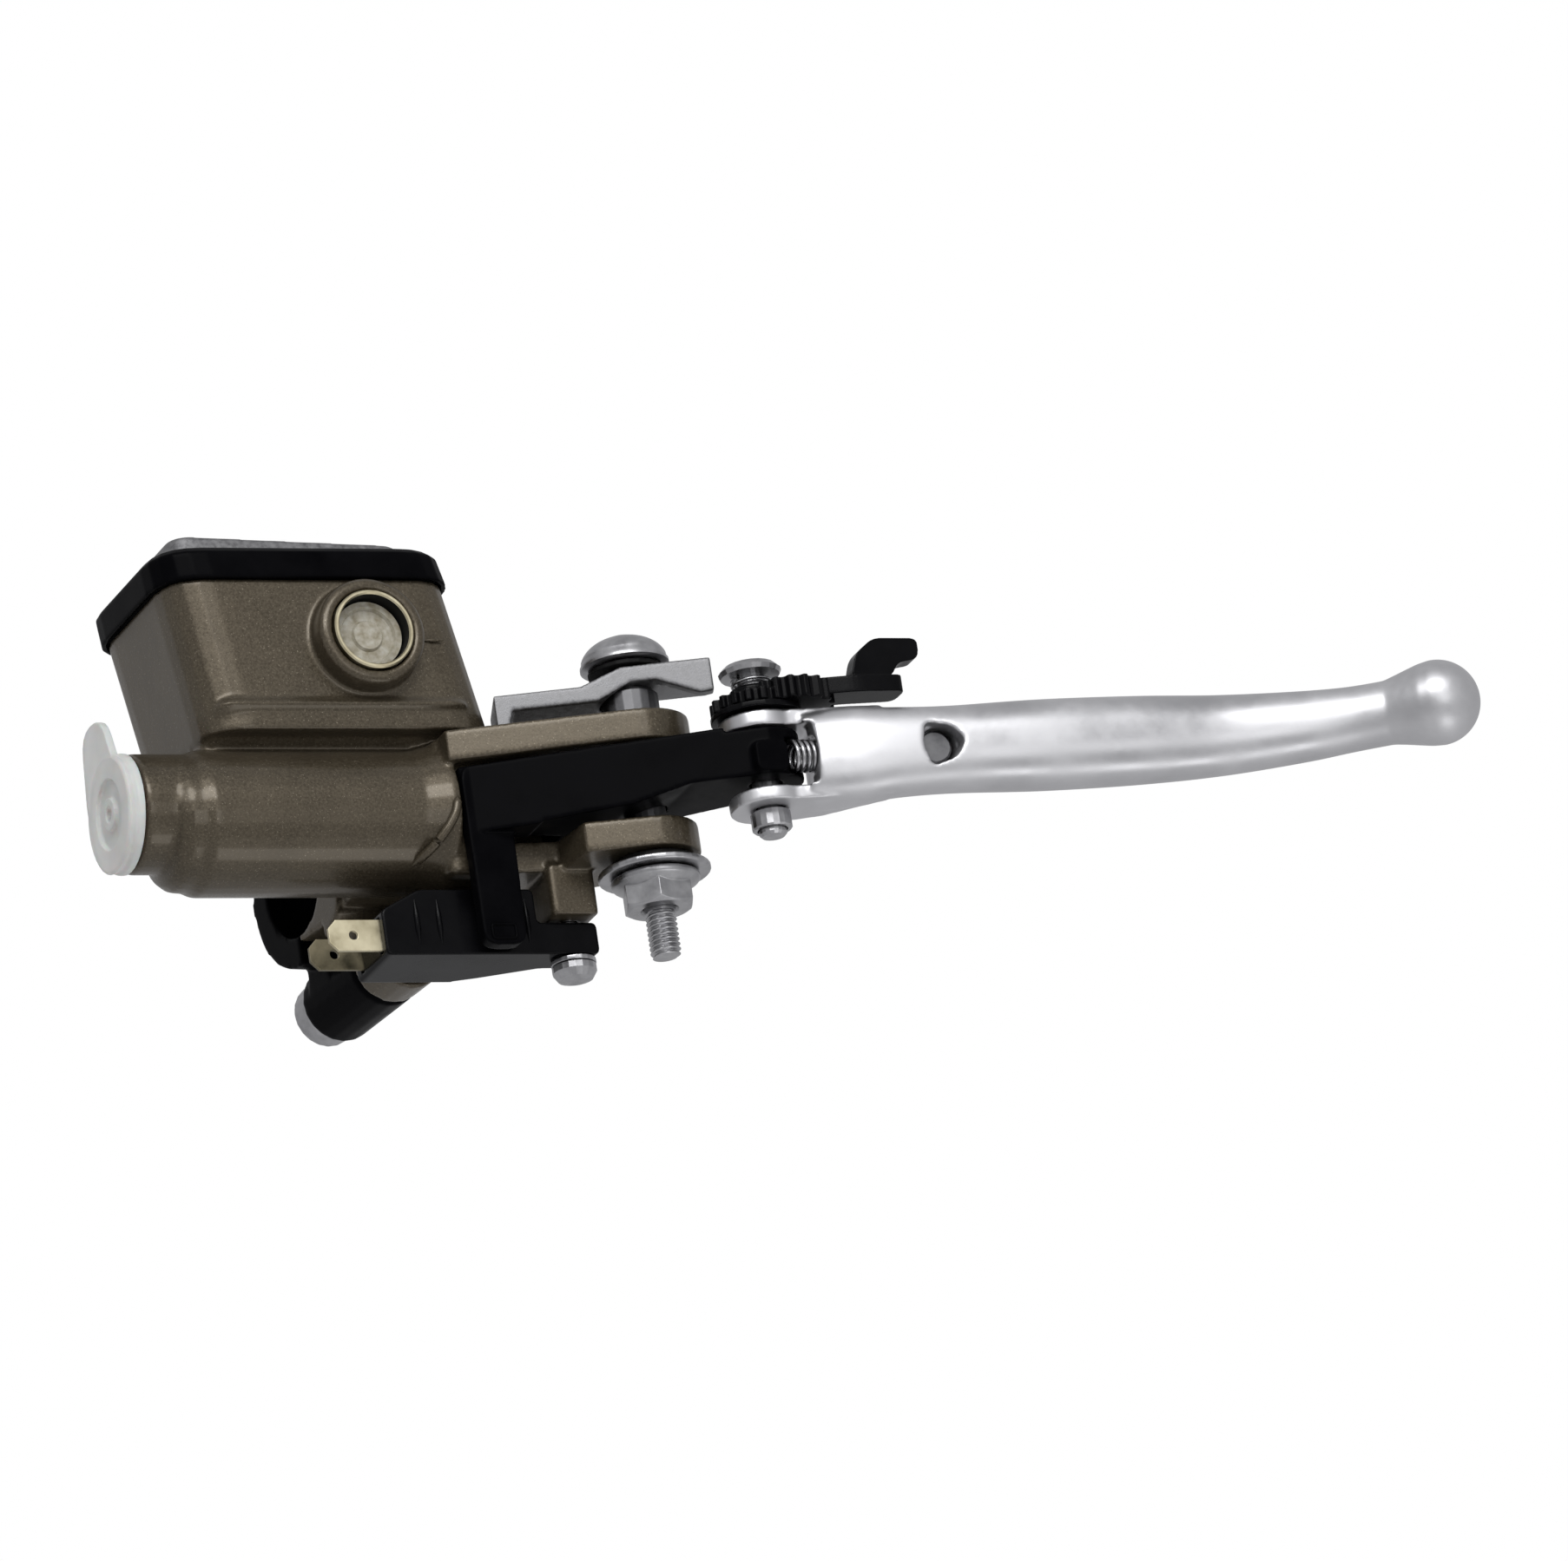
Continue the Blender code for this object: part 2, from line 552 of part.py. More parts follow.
def lever_arm(looks, pivot):
    """The black knuckle: two eyes, the leg that works the switch and the nose that works the piston."""
    nose_x = 26.6  # the nose clears the piston's rod by a little at rest
    arm_outline = (
        [(ARM_X, -46.6), (50.0, -66.6)]
        + arc(*EYE, 7.4, -114, 60, 12)
        + [(52.0, -46.5)]
        + arc(*PIVOT, 9.0, 30, 110, 6)
        + [(34.0, -38.0), (nose_x + 0.6, -35.5), (nose_x + 0.6, -43.0), (18.5, -44.2), (ARM_X, -44.2)]
    )
    arm = object_from("lever_arm", prism(arm_outline, *KNUCKLE), looks["black"], pivot)
    leg = rounded([(ARM_X, 6.2), (ARM_X + 9.3, 6.2), (ARM_X + 9.0, -30.0), (ARM_X + 0.2, -30.0)], 3.0)
    add_join(arm, "arm_leg", prism_y(leg, -47.5, -44.3))
    add_join(arm, "arm_nose", rod(nose_x, 34, 4.2, (0, BORE_Y, BORE_Z), "X", SMALL_ROUND, 0.5))
    add_join(arm, "arm_nose_web", box(29.0, 40.0, -45, BORE_Y + 2, -7.0, 5.5))
    # a cap on the front of the eye holds the end of the blade's spring
    cap = rounded([(-4.9, -3.6), (1.8, -3.6), (1.8, 2.5), (-4.9, 2.5)], 1.6)
    cap = [(EYE[0] + x, LEVER_Z + z) for x, z in cap]
    add_join(arm, "arm_cap", prism_y(cap, EYE[1] - 8.6, EYE[1] - 3.0))
    # the underside rises towards the blade's pivot
    hollow = [(20.0, -20.0), (20.0, -6.9), (36.0, -6.2), (46.5, -3.9), (80.0, -4.6), (80.0, -20.0)]
    add_cut(arm, "arm_underside", prism_y(hollow, -90, EYE[1] + 30))
    add_cut(arm, "arm_relief", box(53.2, 90, -90, -40, 5.2, 12.0))
    spring_room = rod(EYE[0] + 2.1, EYE[0] + 12, 3.7, (0, EYE[1] - 6.0, LEVER_Z), "X", SMALL_ROUND)
    add_cut(arm, "spring_room", spring_room)
    add_cut(arm, "arm_pivot_hole", rod(-30, 20, PIN_R + GAP, (*PIVOT, 0), "Z", SMALL_ROUND))
    add_cut(arm, "arm_eye_hole", rod(-30, 20, 3.2, (*EYE, 0), "Z", SMALL_ROUND))


def pivot_hardware(looks):
    """Bush, bolt, washers, nut and the bent plate on the main pivot. None of these turn."""
    centre = (*PIVOT, 0)
    top = EAR_TOP[1]
    low = EAR_LOW[0]
    bush = ring(EAR_LOW[1] + GAP, EAR_TOP[0] - GAP, BOLT_ROOM, PIN_R, centre, "Z", SMALL_ROUND)
    object_from("pivot_bush", bush, looks["brass"])
    spacer = ring(top + GAP, PLATE_Z - GAP, BOLT_ROOM, 5.6, centre, "Z", SMALL_ROUND, 0.8)
    object_from("plate_spacer", spacer, looks["zinc"])
    bent_plate(looks)
    seat = PLATE_Z + PLATE_THICK + GAP
    washer = ring(seat, seat + 0.9, BOLT_ROOM, 7.3, centre, "Z", SMALL_ROUND)
    object_from("head_washer", washer, looks["rubber"])
    base = seat + 0.9 + GAP
    profile = [
        (-33.5, 2.4),
        (-32.9, 3.0),
        (base, 3.0),
        (base + 0.01, 8.4),
        (base + 1.0, 8.7),
        (base + 3.4, 7.4),
        (base + 5.4, 5.2),
        (base + 6.1, 2.4),
    ]
    bolt = object_from("pivot_bolt", turned(profile, centre, "Z"), looks["zinc"])
    add_cut(bolt, "bolt_socket", prism(hexagon(*PIVOT, 5.0), base + 3.0, base + 9))
    seal = ring(low - 1.6, low - GAP, BOLT_ROOM, 8.0, centre, "Z")
    object_from("pivot_seal", seal, looks["rubber"])
    washer = ring(low - 3.2, low - 1.9, BOLT_ROOM, 10.9, centre, "Z", ROUND, 0.3)
    object_from("pivot_washer", washer, looks["zinc"])
    nut_top = low - 3.5
    flats = prism(hexagon(*PIVOT, 12.6, 12), nut_top - 6.6, nut_top - 0.6)
    nut = object_from("pivot_nut", flats, looks["zinc"])
    add_cut(nut, "nut_bore", rod(-40, -10, BOLT_ROOM, centre, "Z", SMALL_ROUND))
    add_join(nut, "nut_flange", ring(nut_top - 1.9, nut_top, BOLT_ROOM, 8.6, centre, "Z", ROUND, 0.4))


def bent_plate(looks):
    """A thick plate that stands on the upper ear by its folded foot and steps up to the pivot bolt."""
    px, py = PIVOT
    ear = EAR_TOP[1] + GAP
    step = ear + 3.2  # underside of the plate's lower part
    high = PLATE_Z
    profile = [
        (-26.4, ear),
        (-23.9, ear),
        (-23.1, step),
        (-6.8, step),
        (0.2, high),
        (15.8, high),
        (15.8, high + PLATE_THICK),
        (-1.4, high + PLATE_THICK),
        (-9.6, step + PLATE_THICK),
        (-26.4, step + PLATE_THICK),
    ]
    lip = [(4.6, high + 1.0), (15.8, high + 1.0), (15.8, high - 3.4), (13.2, high - 3.6), (5.4, high - 0.2)]
    turn = Matrix.Rotation(math.radians(-18), 3, "Z")
    meshes = [prism_y(profile, -6.5, 6.5), prism_y(lip, -6.5, -3.6)]
    for bm in meshes:
        bmesh.ops.rotate(bm, verts=bm.verts, cent=(0, 0, 0), matrix=turn)
        bmesh.ops.translate(bm, verts=bm.verts, vec=(px, py, 0))
    plate = object_from("cover_plate", meshes[0], looks["grey"])
    add_join(plate, "plate_lip", meshes[1])
    add_cut(plate, "spacer_room", rod(ear, high, 6.0, (px, py, 0), "Z", SMALL_ROUND))
    add_cut(plate, "plate_hole", rod(high - 4, high + 8, BOLT_ROOM, (px, py, 0), "Z", SMALL_ROUND))


BLADE = [  # centre X, centre Y, half depth, half height
    (69.6, -66.6, 7.4, 9.3),
    (76.0, -69.0, 7.0, 9.5),
    (80.0, -70.6, 6.6, 9.4),
    (86.0, -72.0, 6.4, 8.6),
    (97.0, -73.6, 6.6, 8.3),
    (115.0, -76.0, 7.2, 8.8),
    (134.0, -78.6, 7.0, 8.6),
    (150.0, -81.2, 6.4, 7.9),
    (165.0, -85.8, 5.8, 6.9),
    (176.0, -91.0, 5.4, 6.5),
    (183.0, -95.3, 5.4, 6.3),
]
BALL = (188.6, -99.2, 8.0)


def blade_section(spot, way, depth, height, sides=20):
    """A rounded-box ring across the blade's path."""
    across = Vector((-way.y, way.x, 0))
    found = []
    for i in range(sides):
        turn = math.tau * i / sides
        c, s = math.cos(turn), math.sin(turn)
        side = depth * math.copysign(abs(c) ** 0.7, c)
        rise = height * math.copysign(abs(s) ** 0.8, s)
        found.append(spot + across * side + Vector((0, 0, rise)))
    return found


def lever_blade(looks, pivot):
    spots = [Vector((x, y, LEVER_Z)) for x, y, _, _ in BLADE]
    rings = []
    for i, (_, _, depth, height) in enumerate(BLADE):
        way = (spots[min(i + 1, len(spots) - 1)] - spots[max(i - 1, 0)]).normalized()
        rings.append(blade_section(spots[i], way, depth, height))
    blade = object_from("lever_blade", loft(rings), looks["polished"], pivot)
    x, y, radius = BALL
    ball = bmesh.new()
    bmesh.ops.create_uvsphere(ball, u_segments=24, v_segments=14, radius=radius)
    bmesh.ops.translate(ball, verts=ball.verts, vec=(x, y, LEVER_Z))
    add_join(blade, "ball_end", ball)
    # clevis ears either side of the arm's eye
    fork = [(76.0, -75.5), (76.0, -62.5)] + arc(*EYE, 7.6, 60, 300, 16)
    add_join(blade, "fork_top", prism(fork, 5.6, 8.9))
    add_join(blade, "fork_low", prism(fork, -9.4, -6.6))
    add_cut(blade, "fork_room", prism(arc(*EYE, 9.3, 0, 345, 23), -6.6, 5.6))
    add_cut(blade, "cap_room", box(60, 70.8, -82, -64, -6.6, 5.6))
    add_cut(blade, "fork_holes", rod(-30, 20, 3.2, (*EYE, 0), "Z", SMALL_ROUND))
    add_cut(blade, "cross_hole", across_blade(rod(-20, 20, 3.7, (0, 0, 0), "Y", SMALL_ROUND)))


def across_blade(bm):
    """Moves a mesh made along Y to the hole that runs through the blade."""
    turn = Matrix.Rotation(math.radians(-8), 3, "Z")
    bmesh.ops.rotate(bm, verts=bm.verts, cent=(0, 0, 0), matrix=turn)
    bmesh.ops.translate(bm, verts=bm.verts, vec=(93.0, -73.2, LEVER_Z - 0.5))
    return bm


def blade_hardware(looks, arm_pivot, blade_pivot):
    ex, ey = EYE
    centre = (ex, ey, 0)
    head = 17.9  # underside of the screw's head
    profile = [
        (-14.6, 2.2),
        (-14.1, 2.7),
        (head, 2.7),
        (head + 0.01, 5.7),
        (head + 0.9, 6.1),
        (head + 2.0, 5.0),
        (head + 2.4, 3.4),
    ]
    screw = object_from("blade_screw", turned(profile, centre, "Z", SMALL_ROUND), looks["zinc"], arm_pivot)
    add_cut(screw, "blade_screw_slot", box(ex - 8, ex + 8, ey - 0.5, ey + 0.5, head + 1.5, head + 5))
    nut = ring(-13.3, -9.7, 3.0, 3.9, centre, "Z", SMALL_ROUND, 0.3)
    object_from("blade_nut", nut, looks["zinc"], arm_pivot)
    click = coil(head - 2.0, head - 0.7, 3.7, 0.3, 1.5, centre, "Z", 6, 12)
    object_from("click_spring", click, looks["steel"], arm_pivot)
    washer = ring(9.2, 10.2, 3.1, 8.8, centre, "Z")
    object_from("fork_washer", washer, looks["zinc"], blade_pivot)
    reach = across_blade(rod(-3.2, 3.2, 3.3, (0, 0, 0), "Y", SMALL_ROUND, 0.4))
    object_from("reach_screw", reach, looks["steel"], blade_pivot)
    spring = coil(0, 5.0, 2.8, 0.45, 4, (ex + 3.0, ey - 6.0, LEVER_Z), "X", 6, 12)
    object_from("blade_spring", spring, looks["steel"], arm_pivot)


def adjuster(looks, pivot):
    """The toothed cam on the blade's pivot, and its thumb lever with an upright tab."""
    ex, ey = EYE
    teeth = []
    count = 18
    for i in range(count * 2):
        turn = 360 * i / (count * 2)
        radius = 7.6 if i % 2 else 8.6
        teeth += arc(ex, ey, radius, turn - 3.5, turn + 3.5, 1)
    cam = object_from("adjuster_cam", prism(teeth, 10.5, 13.0), looks["plastic"], pivot)
    hub = rod(12.5, 15.2, 4.6, (ex, ey, 0), "Z", SMALL_ROUND, 0.4)
    add_join(cam, "cam_hub", hub)
    handle = [(2, -5.6), (18, -9.4), (27.5, -9.8), (27.5, -3.4), (16, -1.6), (2, 5.6)]
    handle = rounded([(ex + x, ey + y) for x, y in handle], 2.0)
    add_join(cam, "cam_handle", prism(handle, 11.6, 14.9))
    tab = [(79.0, 14.6), (87.5, 14.8), (89.0, 17.6), (93.5, 18.4), (93.8, 22.6), (84.5, 22.6), (80.5, 19.4)]
    tab = rounded(tab, 1.6, 4)
    add_join(cam, "cam_tab", prism_y(tab, ey - 9.0, ey - 5.0))
    add_cut(cam, "cam_hole", rod(8, 18, 3.05, (ex, ey, 0), "Z", SMALL_ROUND))


def main():
    clear_scene()
    looks = {
        "bronze": material("bronze_paint", (0.105, 0.085, 0.062), 0.45, 0.6),
        "black": material("black_satin", (0.012, 0.012, 0.014), 0.35),
        "plastic": material("black_plastic", (0.01, 0.01, 0.011), 0.3),
        "rubber": material("rubber", (0.015, 0.015, 0.015), 0.7),
        "grey": material("grey_zinc", (0.42, 0.42, 0.43), 0.5, 0.8),
        "zinc": material("zinc_plate", (0.5, 0.5, 0.52), 0.3, 1.0),
        "steel": material("steel", (0.45, 0.45, 0.46), 0.25, 1.0),
        "aluminium": material("aluminium", (0.6, 0.6, 0.62), 0.3, 1.0),
        "polished": material("polished_aluminium", (0.8, 0.8, 0.82), 0.15, 1.0),
        "brass": material("brass", (0.7, 0.6, 0.38), 0.35, 1.0),
        "lens": material("clear_lens", (0.75, 0.72, 0.6), 0.1),
        "plug": material("milky_plastic", (0.75, 0.76, 0.76), 0.4),
    }
    body_casting(looks["bronze"])
    reservoir_cover(looks)
    sight_glass(looks)
    outlet_plug(looks)
    cylinder_insides(looks, pivot_empty("piston_axis", 0, BORE_Y, BORE_Z))
    clamp(looks)
    brake_switch(looks, pivot_empty("plunger_axis", 13.5, SWITCH_Y[0], -24))
    arm_pivot = pivot_empty("lever_axis", *PIVOT, 0)
    lever_arm(looks, arm_pivot)
    pivot_hardware(looks)
    blade_pivot = pivot_empty("blade_axis", *EYE, 0)
    adjuster_pivot = pivot_empty("adjuster_axis", *EYE, 0)
    lever_blade(looks, blade_pivot)
    blade_hardware(looks, arm_pivot, blade_pivot)
    adjuster(looks, adjuster_pivot)


main()
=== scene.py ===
"""Visual model of a motorcycle's front brake master cylinder, built round its CAD frame.

Lengths in this script are millimetres unless a name says otherwise. The frame is in metres.
"""

import math

import bmesh
import bpy
from mathutils import Matrix, Vector


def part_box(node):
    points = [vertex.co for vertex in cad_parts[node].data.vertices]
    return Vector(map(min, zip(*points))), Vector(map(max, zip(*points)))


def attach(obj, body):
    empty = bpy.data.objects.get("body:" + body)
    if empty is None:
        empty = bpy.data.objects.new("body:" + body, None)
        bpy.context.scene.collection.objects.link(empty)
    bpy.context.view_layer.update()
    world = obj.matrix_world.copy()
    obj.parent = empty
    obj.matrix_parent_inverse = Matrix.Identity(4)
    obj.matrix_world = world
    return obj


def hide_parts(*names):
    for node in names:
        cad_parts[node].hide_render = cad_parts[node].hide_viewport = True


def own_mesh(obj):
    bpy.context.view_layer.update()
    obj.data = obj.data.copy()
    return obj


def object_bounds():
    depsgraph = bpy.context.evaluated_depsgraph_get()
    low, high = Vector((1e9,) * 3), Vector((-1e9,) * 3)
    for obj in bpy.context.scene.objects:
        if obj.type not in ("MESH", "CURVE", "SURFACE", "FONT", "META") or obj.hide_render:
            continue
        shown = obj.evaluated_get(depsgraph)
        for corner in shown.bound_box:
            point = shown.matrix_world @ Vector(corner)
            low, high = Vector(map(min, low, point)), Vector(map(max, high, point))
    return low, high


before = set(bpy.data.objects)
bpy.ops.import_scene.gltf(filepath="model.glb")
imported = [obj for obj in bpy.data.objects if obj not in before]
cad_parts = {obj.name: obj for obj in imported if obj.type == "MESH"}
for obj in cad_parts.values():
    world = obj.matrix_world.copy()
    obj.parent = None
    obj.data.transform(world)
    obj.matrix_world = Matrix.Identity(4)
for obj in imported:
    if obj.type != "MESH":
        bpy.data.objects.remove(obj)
cad_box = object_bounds()

MM = 0.001
GAP = 0.3  # clearance that the CAD leaves between pieces
SIDES = 72  # sides of a round piece
COARSE = 1.0


# Meshes. Each maker returns a bmesh in millimetres.


def box_mm(node):
    low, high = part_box(node)
    return low / MM, high / MM


def centre_mm(node):
    low, high = box_mm(node)
    return (low + high) / 2


def loft(rings, closed=False):
    """A solid through rings of points, or a closed hoop of them."""
    bm = bmesh.new()
    loops = [[bm.verts.new(point) for point in ring] for ring in rings]
    count = len(rings[0])
    pairs = list(zip(loops, loops[1:]))
    if closed:
        pairs.append((loops[-1], loops[0]))
    for low, high in pairs:
        for i in range(count):
            j = (i + 1) % count
            bm.faces.new((low[i], low[j], high[j], high[i]))
    if not closed:
        bm.faces.new(list(reversed(loops[0])))
        bm.faces.new(loops[-1])
    bmesh.ops.recalc_face_normals(bm, faces=bm.faces)
    return bm


def rounded(points, radius, steps=6):
    """The outline with each corner replaced by a curve that starts radius away from it."""
    found = []
    count = len(points)
    for i, point in enumerate(points):
        here = Vector(point)
        before = Vector(points[i - 1])
        after = Vector(points[(i + 1) % count])
        reach = min(radius, 0.45 * (before - here).length, 0.45 * (after - here).length)
        start = here + (before - here).normalized() * reach
        end = here + (after - here).normalized() * reach
        for k in range(steps + 1):
            t = k / steps
            spot = start * (1 - t) ** 2 + here * 2 * t * (1 - t) + end * t**2
            found.append(tuple(spot))
    return found


AXES = {
    "X": (Vector((1, 0, 0)), Vector((0, 1, 0)), Vector((0, 0, 1))),
    "Y": (Vector((0, 1, 0)), Vector((0, 0, 1)), Vector((1, 0, 0))),
    "Z": (Vector((0, 0, 1)), Vector((1, 0, 0)), Vector((0, 1, 0))),
}


def spin(profile, centre, axis, sides=SIDES, closed=False):
    """A solid of revolution from (distance along the axis, radius) pairs. A closed profile makes a hoop."""
    along, side, up = AXES[axis]
    rings = []
    for distance, radius in profile:
        ring = []
        for i in range(sides):
            turn = math.tau * i / sides
            spoke = side * math.cos(turn) + up * math.sin(turn)
            ring.append(centre + along * distance + spoke * radius)
        rings.append(ring)
    return loft(rings, closed)


def prism(outline, start, end, axis):
    """An outline extruded along an axis. Its points are in the order of the axis's two side directions."""
    along, side, up = AXES[axis]
    return loft([[side * a + up * b + along * d for a, b in outline] for d in (start, end)])


def block(low, high):
    """A box between two corners."""
    x0, y0, z0 = low
    x1, y1, z1 = high
    return prism([(x0, y0), (x1, y0), (x1, y1), (x0, y1)], z0, z1, "Z")


def arc_turns(start, end, steps):
    """Angles in radians, evenly spaced from start to end degrees."""
    return [math.radians(start + (end - start) * i / steps) for i in range(steps + 1)]


def circle(centre, radius, sides, turn=0.0):
    found = []
    for i in range(sides):
        angle = turn + math.tau * i / sides
        found.append((centre[0] + radius * math.cos(angle), centre[1] + radius * math.sin(angle)))
    return found


def thread(radius, depth, pitch, start, end, centre, axis, sides=40, per_turn=10):
    """A threaded rod: its radius is a rounded wave that climbs round the axis."""
    along, side, up = AXES[axis]
    steps = max(4, int((end - start) / pitch * per_turn))
    rings = []
    for k in range(steps + 1):
        distance = start + (end - start) * k / steps
        fade = min(1.0, (distance - start) / pitch, (end - distance) / pitch + 0.15)
        ring = []
        for i in range(sides):
            share = i / sides
            wave = (distance / pitch - share) % 1.0
            groove = depth * (0.5 - 0.5 * math.cos(math.tau * wave))
            cut = radius - groove - depth * 0.6 * (1 - max(0.0, fade))
            turn = math.tau * share
            ring.append(centre + along * distance + (side * math.cos(turn) + up * math.sin(turn)) * cut)
        rings.append(ring)
    return loft(rings)


def coil(start, end, radius, wire, turns, centre, axis, sides=12, per_turn=36):
    """A spring of round wire, with its end turns closed up."""
    along, side, up = AXES[axis]
    rings = []
    steps = int(turns * per_turn)
    for i in range(steps + 1):
        share = i / steps
        turn = math.tau * turns * share
        spoke = side * math.cos(turn) + up * math.sin(turn)
        middle = centre + along * (start + (end - start) * share) + spoke * radius
        section = []
        for k in range(sides):
            lean = math.tau * k / sides
            section.append(middle + (spoke * math.cos(lean) + along * math.sin(lean)) * wire)
        rings.append(section)
    return loft(rings)


def object_of(bm, name):
    mesh = bpy.data.meshes.new(name)
    bmesh.ops.scale(bm, vec=(MM, MM, MM), verts=bm.verts)
    bm.to_mesh(mesh)
    bm.free()
    obj = bpy.data.objects.new(name, mesh)
    bpy.context.scene.collection.objects.link(obj)
    return obj


def carve(name, base, steps):
    """The base mesh after each (operation, mesh) step, as one object."""
    obj = object_of(base, name)
    helpers = []
    for i, (operation, bm) in enumerate(steps):
        helper = object_of(bm, f"{name}_step{i}")
        helpers.append(helper)
        cut = obj.modifiers.new(f"step{i}", "BOOLEAN")
        cut.operation = operation
        cut.object = helper
        cut.solver = "EXACT"
    graph = bpy.context.evaluated_depsgraph_get()
    mesh = bpy.data.meshes.new_from_object(obj.evaluated_get(graph))
    mesh.name = name
    obj.modifiers.clear()
    obj.data = mesh
    for helper in helpers:
        bpy.data.objects.remove(helper, do_unlink=True)
    return obj


def soften(obj, voxel, passes, factor=0.5):
    """Rounds every edge a little, as a casting's or a moulding's edges are."""
    remesh = obj.modifiers.new("even", "REMESH")
    remesh.mode = "VOXEL"
    remesh.voxel_size = voxel * COARSE * MM
    remesh.use_smooth_shade = True
    smooth = obj.modifiers.new("soften", "SMOOTH")
    smooth.factor = factor
    smooth.iterations = passes


def shade(obj, angle=35.0):
    obj.data.shade_smooth()
    obj.data.set_sharp_from_angle(angle=math.radians(angle))


def place(obj, body, look, stands_for=()):
    """Gives a new piece its material and its body, and hides the CAD nodes that it stands for."""
    obj.data.materials.clear()
    obj.data.materials.append(look)
    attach(obj, body)
    if stands_for:
        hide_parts(*stands_for)


def dress(node, look):
    """Gives a CAD node that keeps its shape its finished material."""
    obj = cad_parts[node]
    for slot in obj.material_slots:
        slot.material = look
    return obj


# Materials


class Nodes:
    """A short way to build one material's node tree."""

    def __init__(self, name):
        self.material = bpy.data.materials.new(name)
        self.material.use_nodes = True
        self.tree = self.material.node_tree
        self.shader = self.tree.nodes["Principled BSDF"]
        self.place = self.add("ShaderNodeTexCoord").outputs["Object"]

    def add(self, kind, **settings):
        node = self.tree.nodes.new(kind)
        for key, value in settings.items():
            setattr(node, key, value)
        return node

    def link(self, source, target):
        self.tree.links.new(source, target)

    def set(self, **values):
        for key, value in values.items():
            self.shader.inputs[key.replace("_", " ")].default_value = value

    def stretched(self, scale):
        """Object coordinates, in metres, scaled by a vector."""
        mapping = self.add("ShaderNodeMapping")
        mapping.inputs["Scale"].default_value = scale
        self.link(self.place, mapping.inputs["Vector"])
        return mapping.outputs["Vector"]

    def noise(self, size, detail=3.0, rough=0.5, vector=None):
        """Noise whose features are about size millimetres across."""
        node = self.add("ShaderNodeTexNoise")
        node.inputs["Scale"].default_value = 1 / (size * MM)
        node.inputs["Detail"].default_value = detail
        node.inputs["Roughness"].default_value = rough
        self.link(vector or self.place, node.inputs["Vector"])
        return node.outputs["Fac"]

    def cells(self, size):
        """A random grey for each cell, size millimetres across."""
        node = self.add("ShaderNodeTexVoronoi")
        node.inputs["Scale"].default_value = 1 / (size * MM)
        self.link(self.place, node.inputs["Vector"])
        return node.outputs["Color"]

    def spread(self, source, low, high, start=0.3, end=0.7):
        """The source's middle range stretched to run from low to high."""
        node = self.add("ShaderNodeMapRange")
        node.inputs["From Min"].default_value = start
        node.inputs["From Max"].default_value = end
        node.inputs["To Min"].default_value = low
        node.inputs["To Max"].default_value = high
        self.link(source, node.inputs["Value"])
        return node.outputs["Result"]

    def blend(self, amount, first, second):
        node = self.add("ShaderNodeMix", data_type="RGBA")
        self.link(amount, node.inputs["Factor"])
        for value, socket in ((first, node.inputs[6]), (second, node.inputs[7])):
            if isinstance(value, tuple):
                socket.default_value = (*value, 1.0)
            else:
                self.link(value, socket)
        return node.outputs[2]

    def bump(self, heights):
        """Chains (height, distance in millimetres, strength) bumps into the shader's normal."""
        normal = None
        for height, distance, strength in heights:
            node = self.add("ShaderNodeBump")
            node.inputs["Distance"].default_value = distance * MM
            node.inputs["Strength"].default_value = strength
            self.link(height, node.inputs["Height"])
            if normal:
                self.link(normal, node.inputs["Normal"])
            normal = node.outputs["Normal"]
        self.link(normal, self.shader.inputs["Normal"])

    def colour(self, source):
        self.link(source, self.shader.inputs["Base Color"])

    def roughness(self, source):
        self.link(source, self.shader.inputs["Roughness"])


def cast_paint():
    """Bronze metallic paint over a sand-textured casting."""
    made = Nodes("bronze_paint_look")
    broad = made.noise(14.0, 3.0)
    grain = made.noise(0.45, 2.0, 0.6)
    flake = made.cells(0.16)
    base = made.blend(made.spread(broad, 0.0, 1.0), (0.046, 0.036, 0.022), (0.064, 0.051, 0.033))
    grained = made.blend(made.spread(grain, 0.0, 0.5, 0.35, 0.75), base, (0.125, 0.104, 0.072))
    bright = made.spread(flake, 0.0, 0.8, 0.86, 1.0)
    made.colour(made.blend(bright, grained, (0.28, 0.245, 0.185)))
    made.roughness(made.spread(grain, 0.28, 0.46))
    made.bump([(made.noise(2.6, 2.0), 0.06, 0.5), (grain, 0.03, 0.55)])
    made.set(Metallic=0.55, Specular_IOR_Level=0.4, Coat_Weight=0.2, Coat_Roughness=0.16)
    return made.material


def moulded(name, dark, light, rough, grain=0.25, depth=0.012, sheen=0.3, blotch=9.0):
    """Paint, plastic or rubber: two near tones, fine grain, and a rubbed roughness."""
    made = Nodes(name)
    fine = made.noise(grain, 3.0, 0.6)
    broad = made.noise(blotch, 4.0, 0.6)
    made.colour(made.blend(made.spread(broad, 0.0, 1.0), dark, light))
    made.roughness(made.spread(broad, rough * 0.8, rough * 1.25))
    made.bump([(fine, depth, 0.6)])
    made.set(Specular_IOR_Level=sheen)
    return made.material


def plated(name, dark, light, rough, grain=0.3, depth=0.008, stretch=(1, 1, 1), wear=5.0, metallic=1.0):
    """Plated or bare metal: tone and roughness drift, with fine tool or sand marks."""
    made = Nodes(name)
    marks = made.noise(grain, 4.0, 0.65, made.stretched(stretch))
    broad = made.noise(wear, 5.0, 0.6)
    made.colour(made.blend(made.spread(broad, 0.0, 1.0), dark, light))
    made.roughness(made.spread(broad, rough * 0.75, rough * 1.4))
    made.bump([(marks, depth, 0.6)])
    made.set(Metallic=metallic)
    return made.material


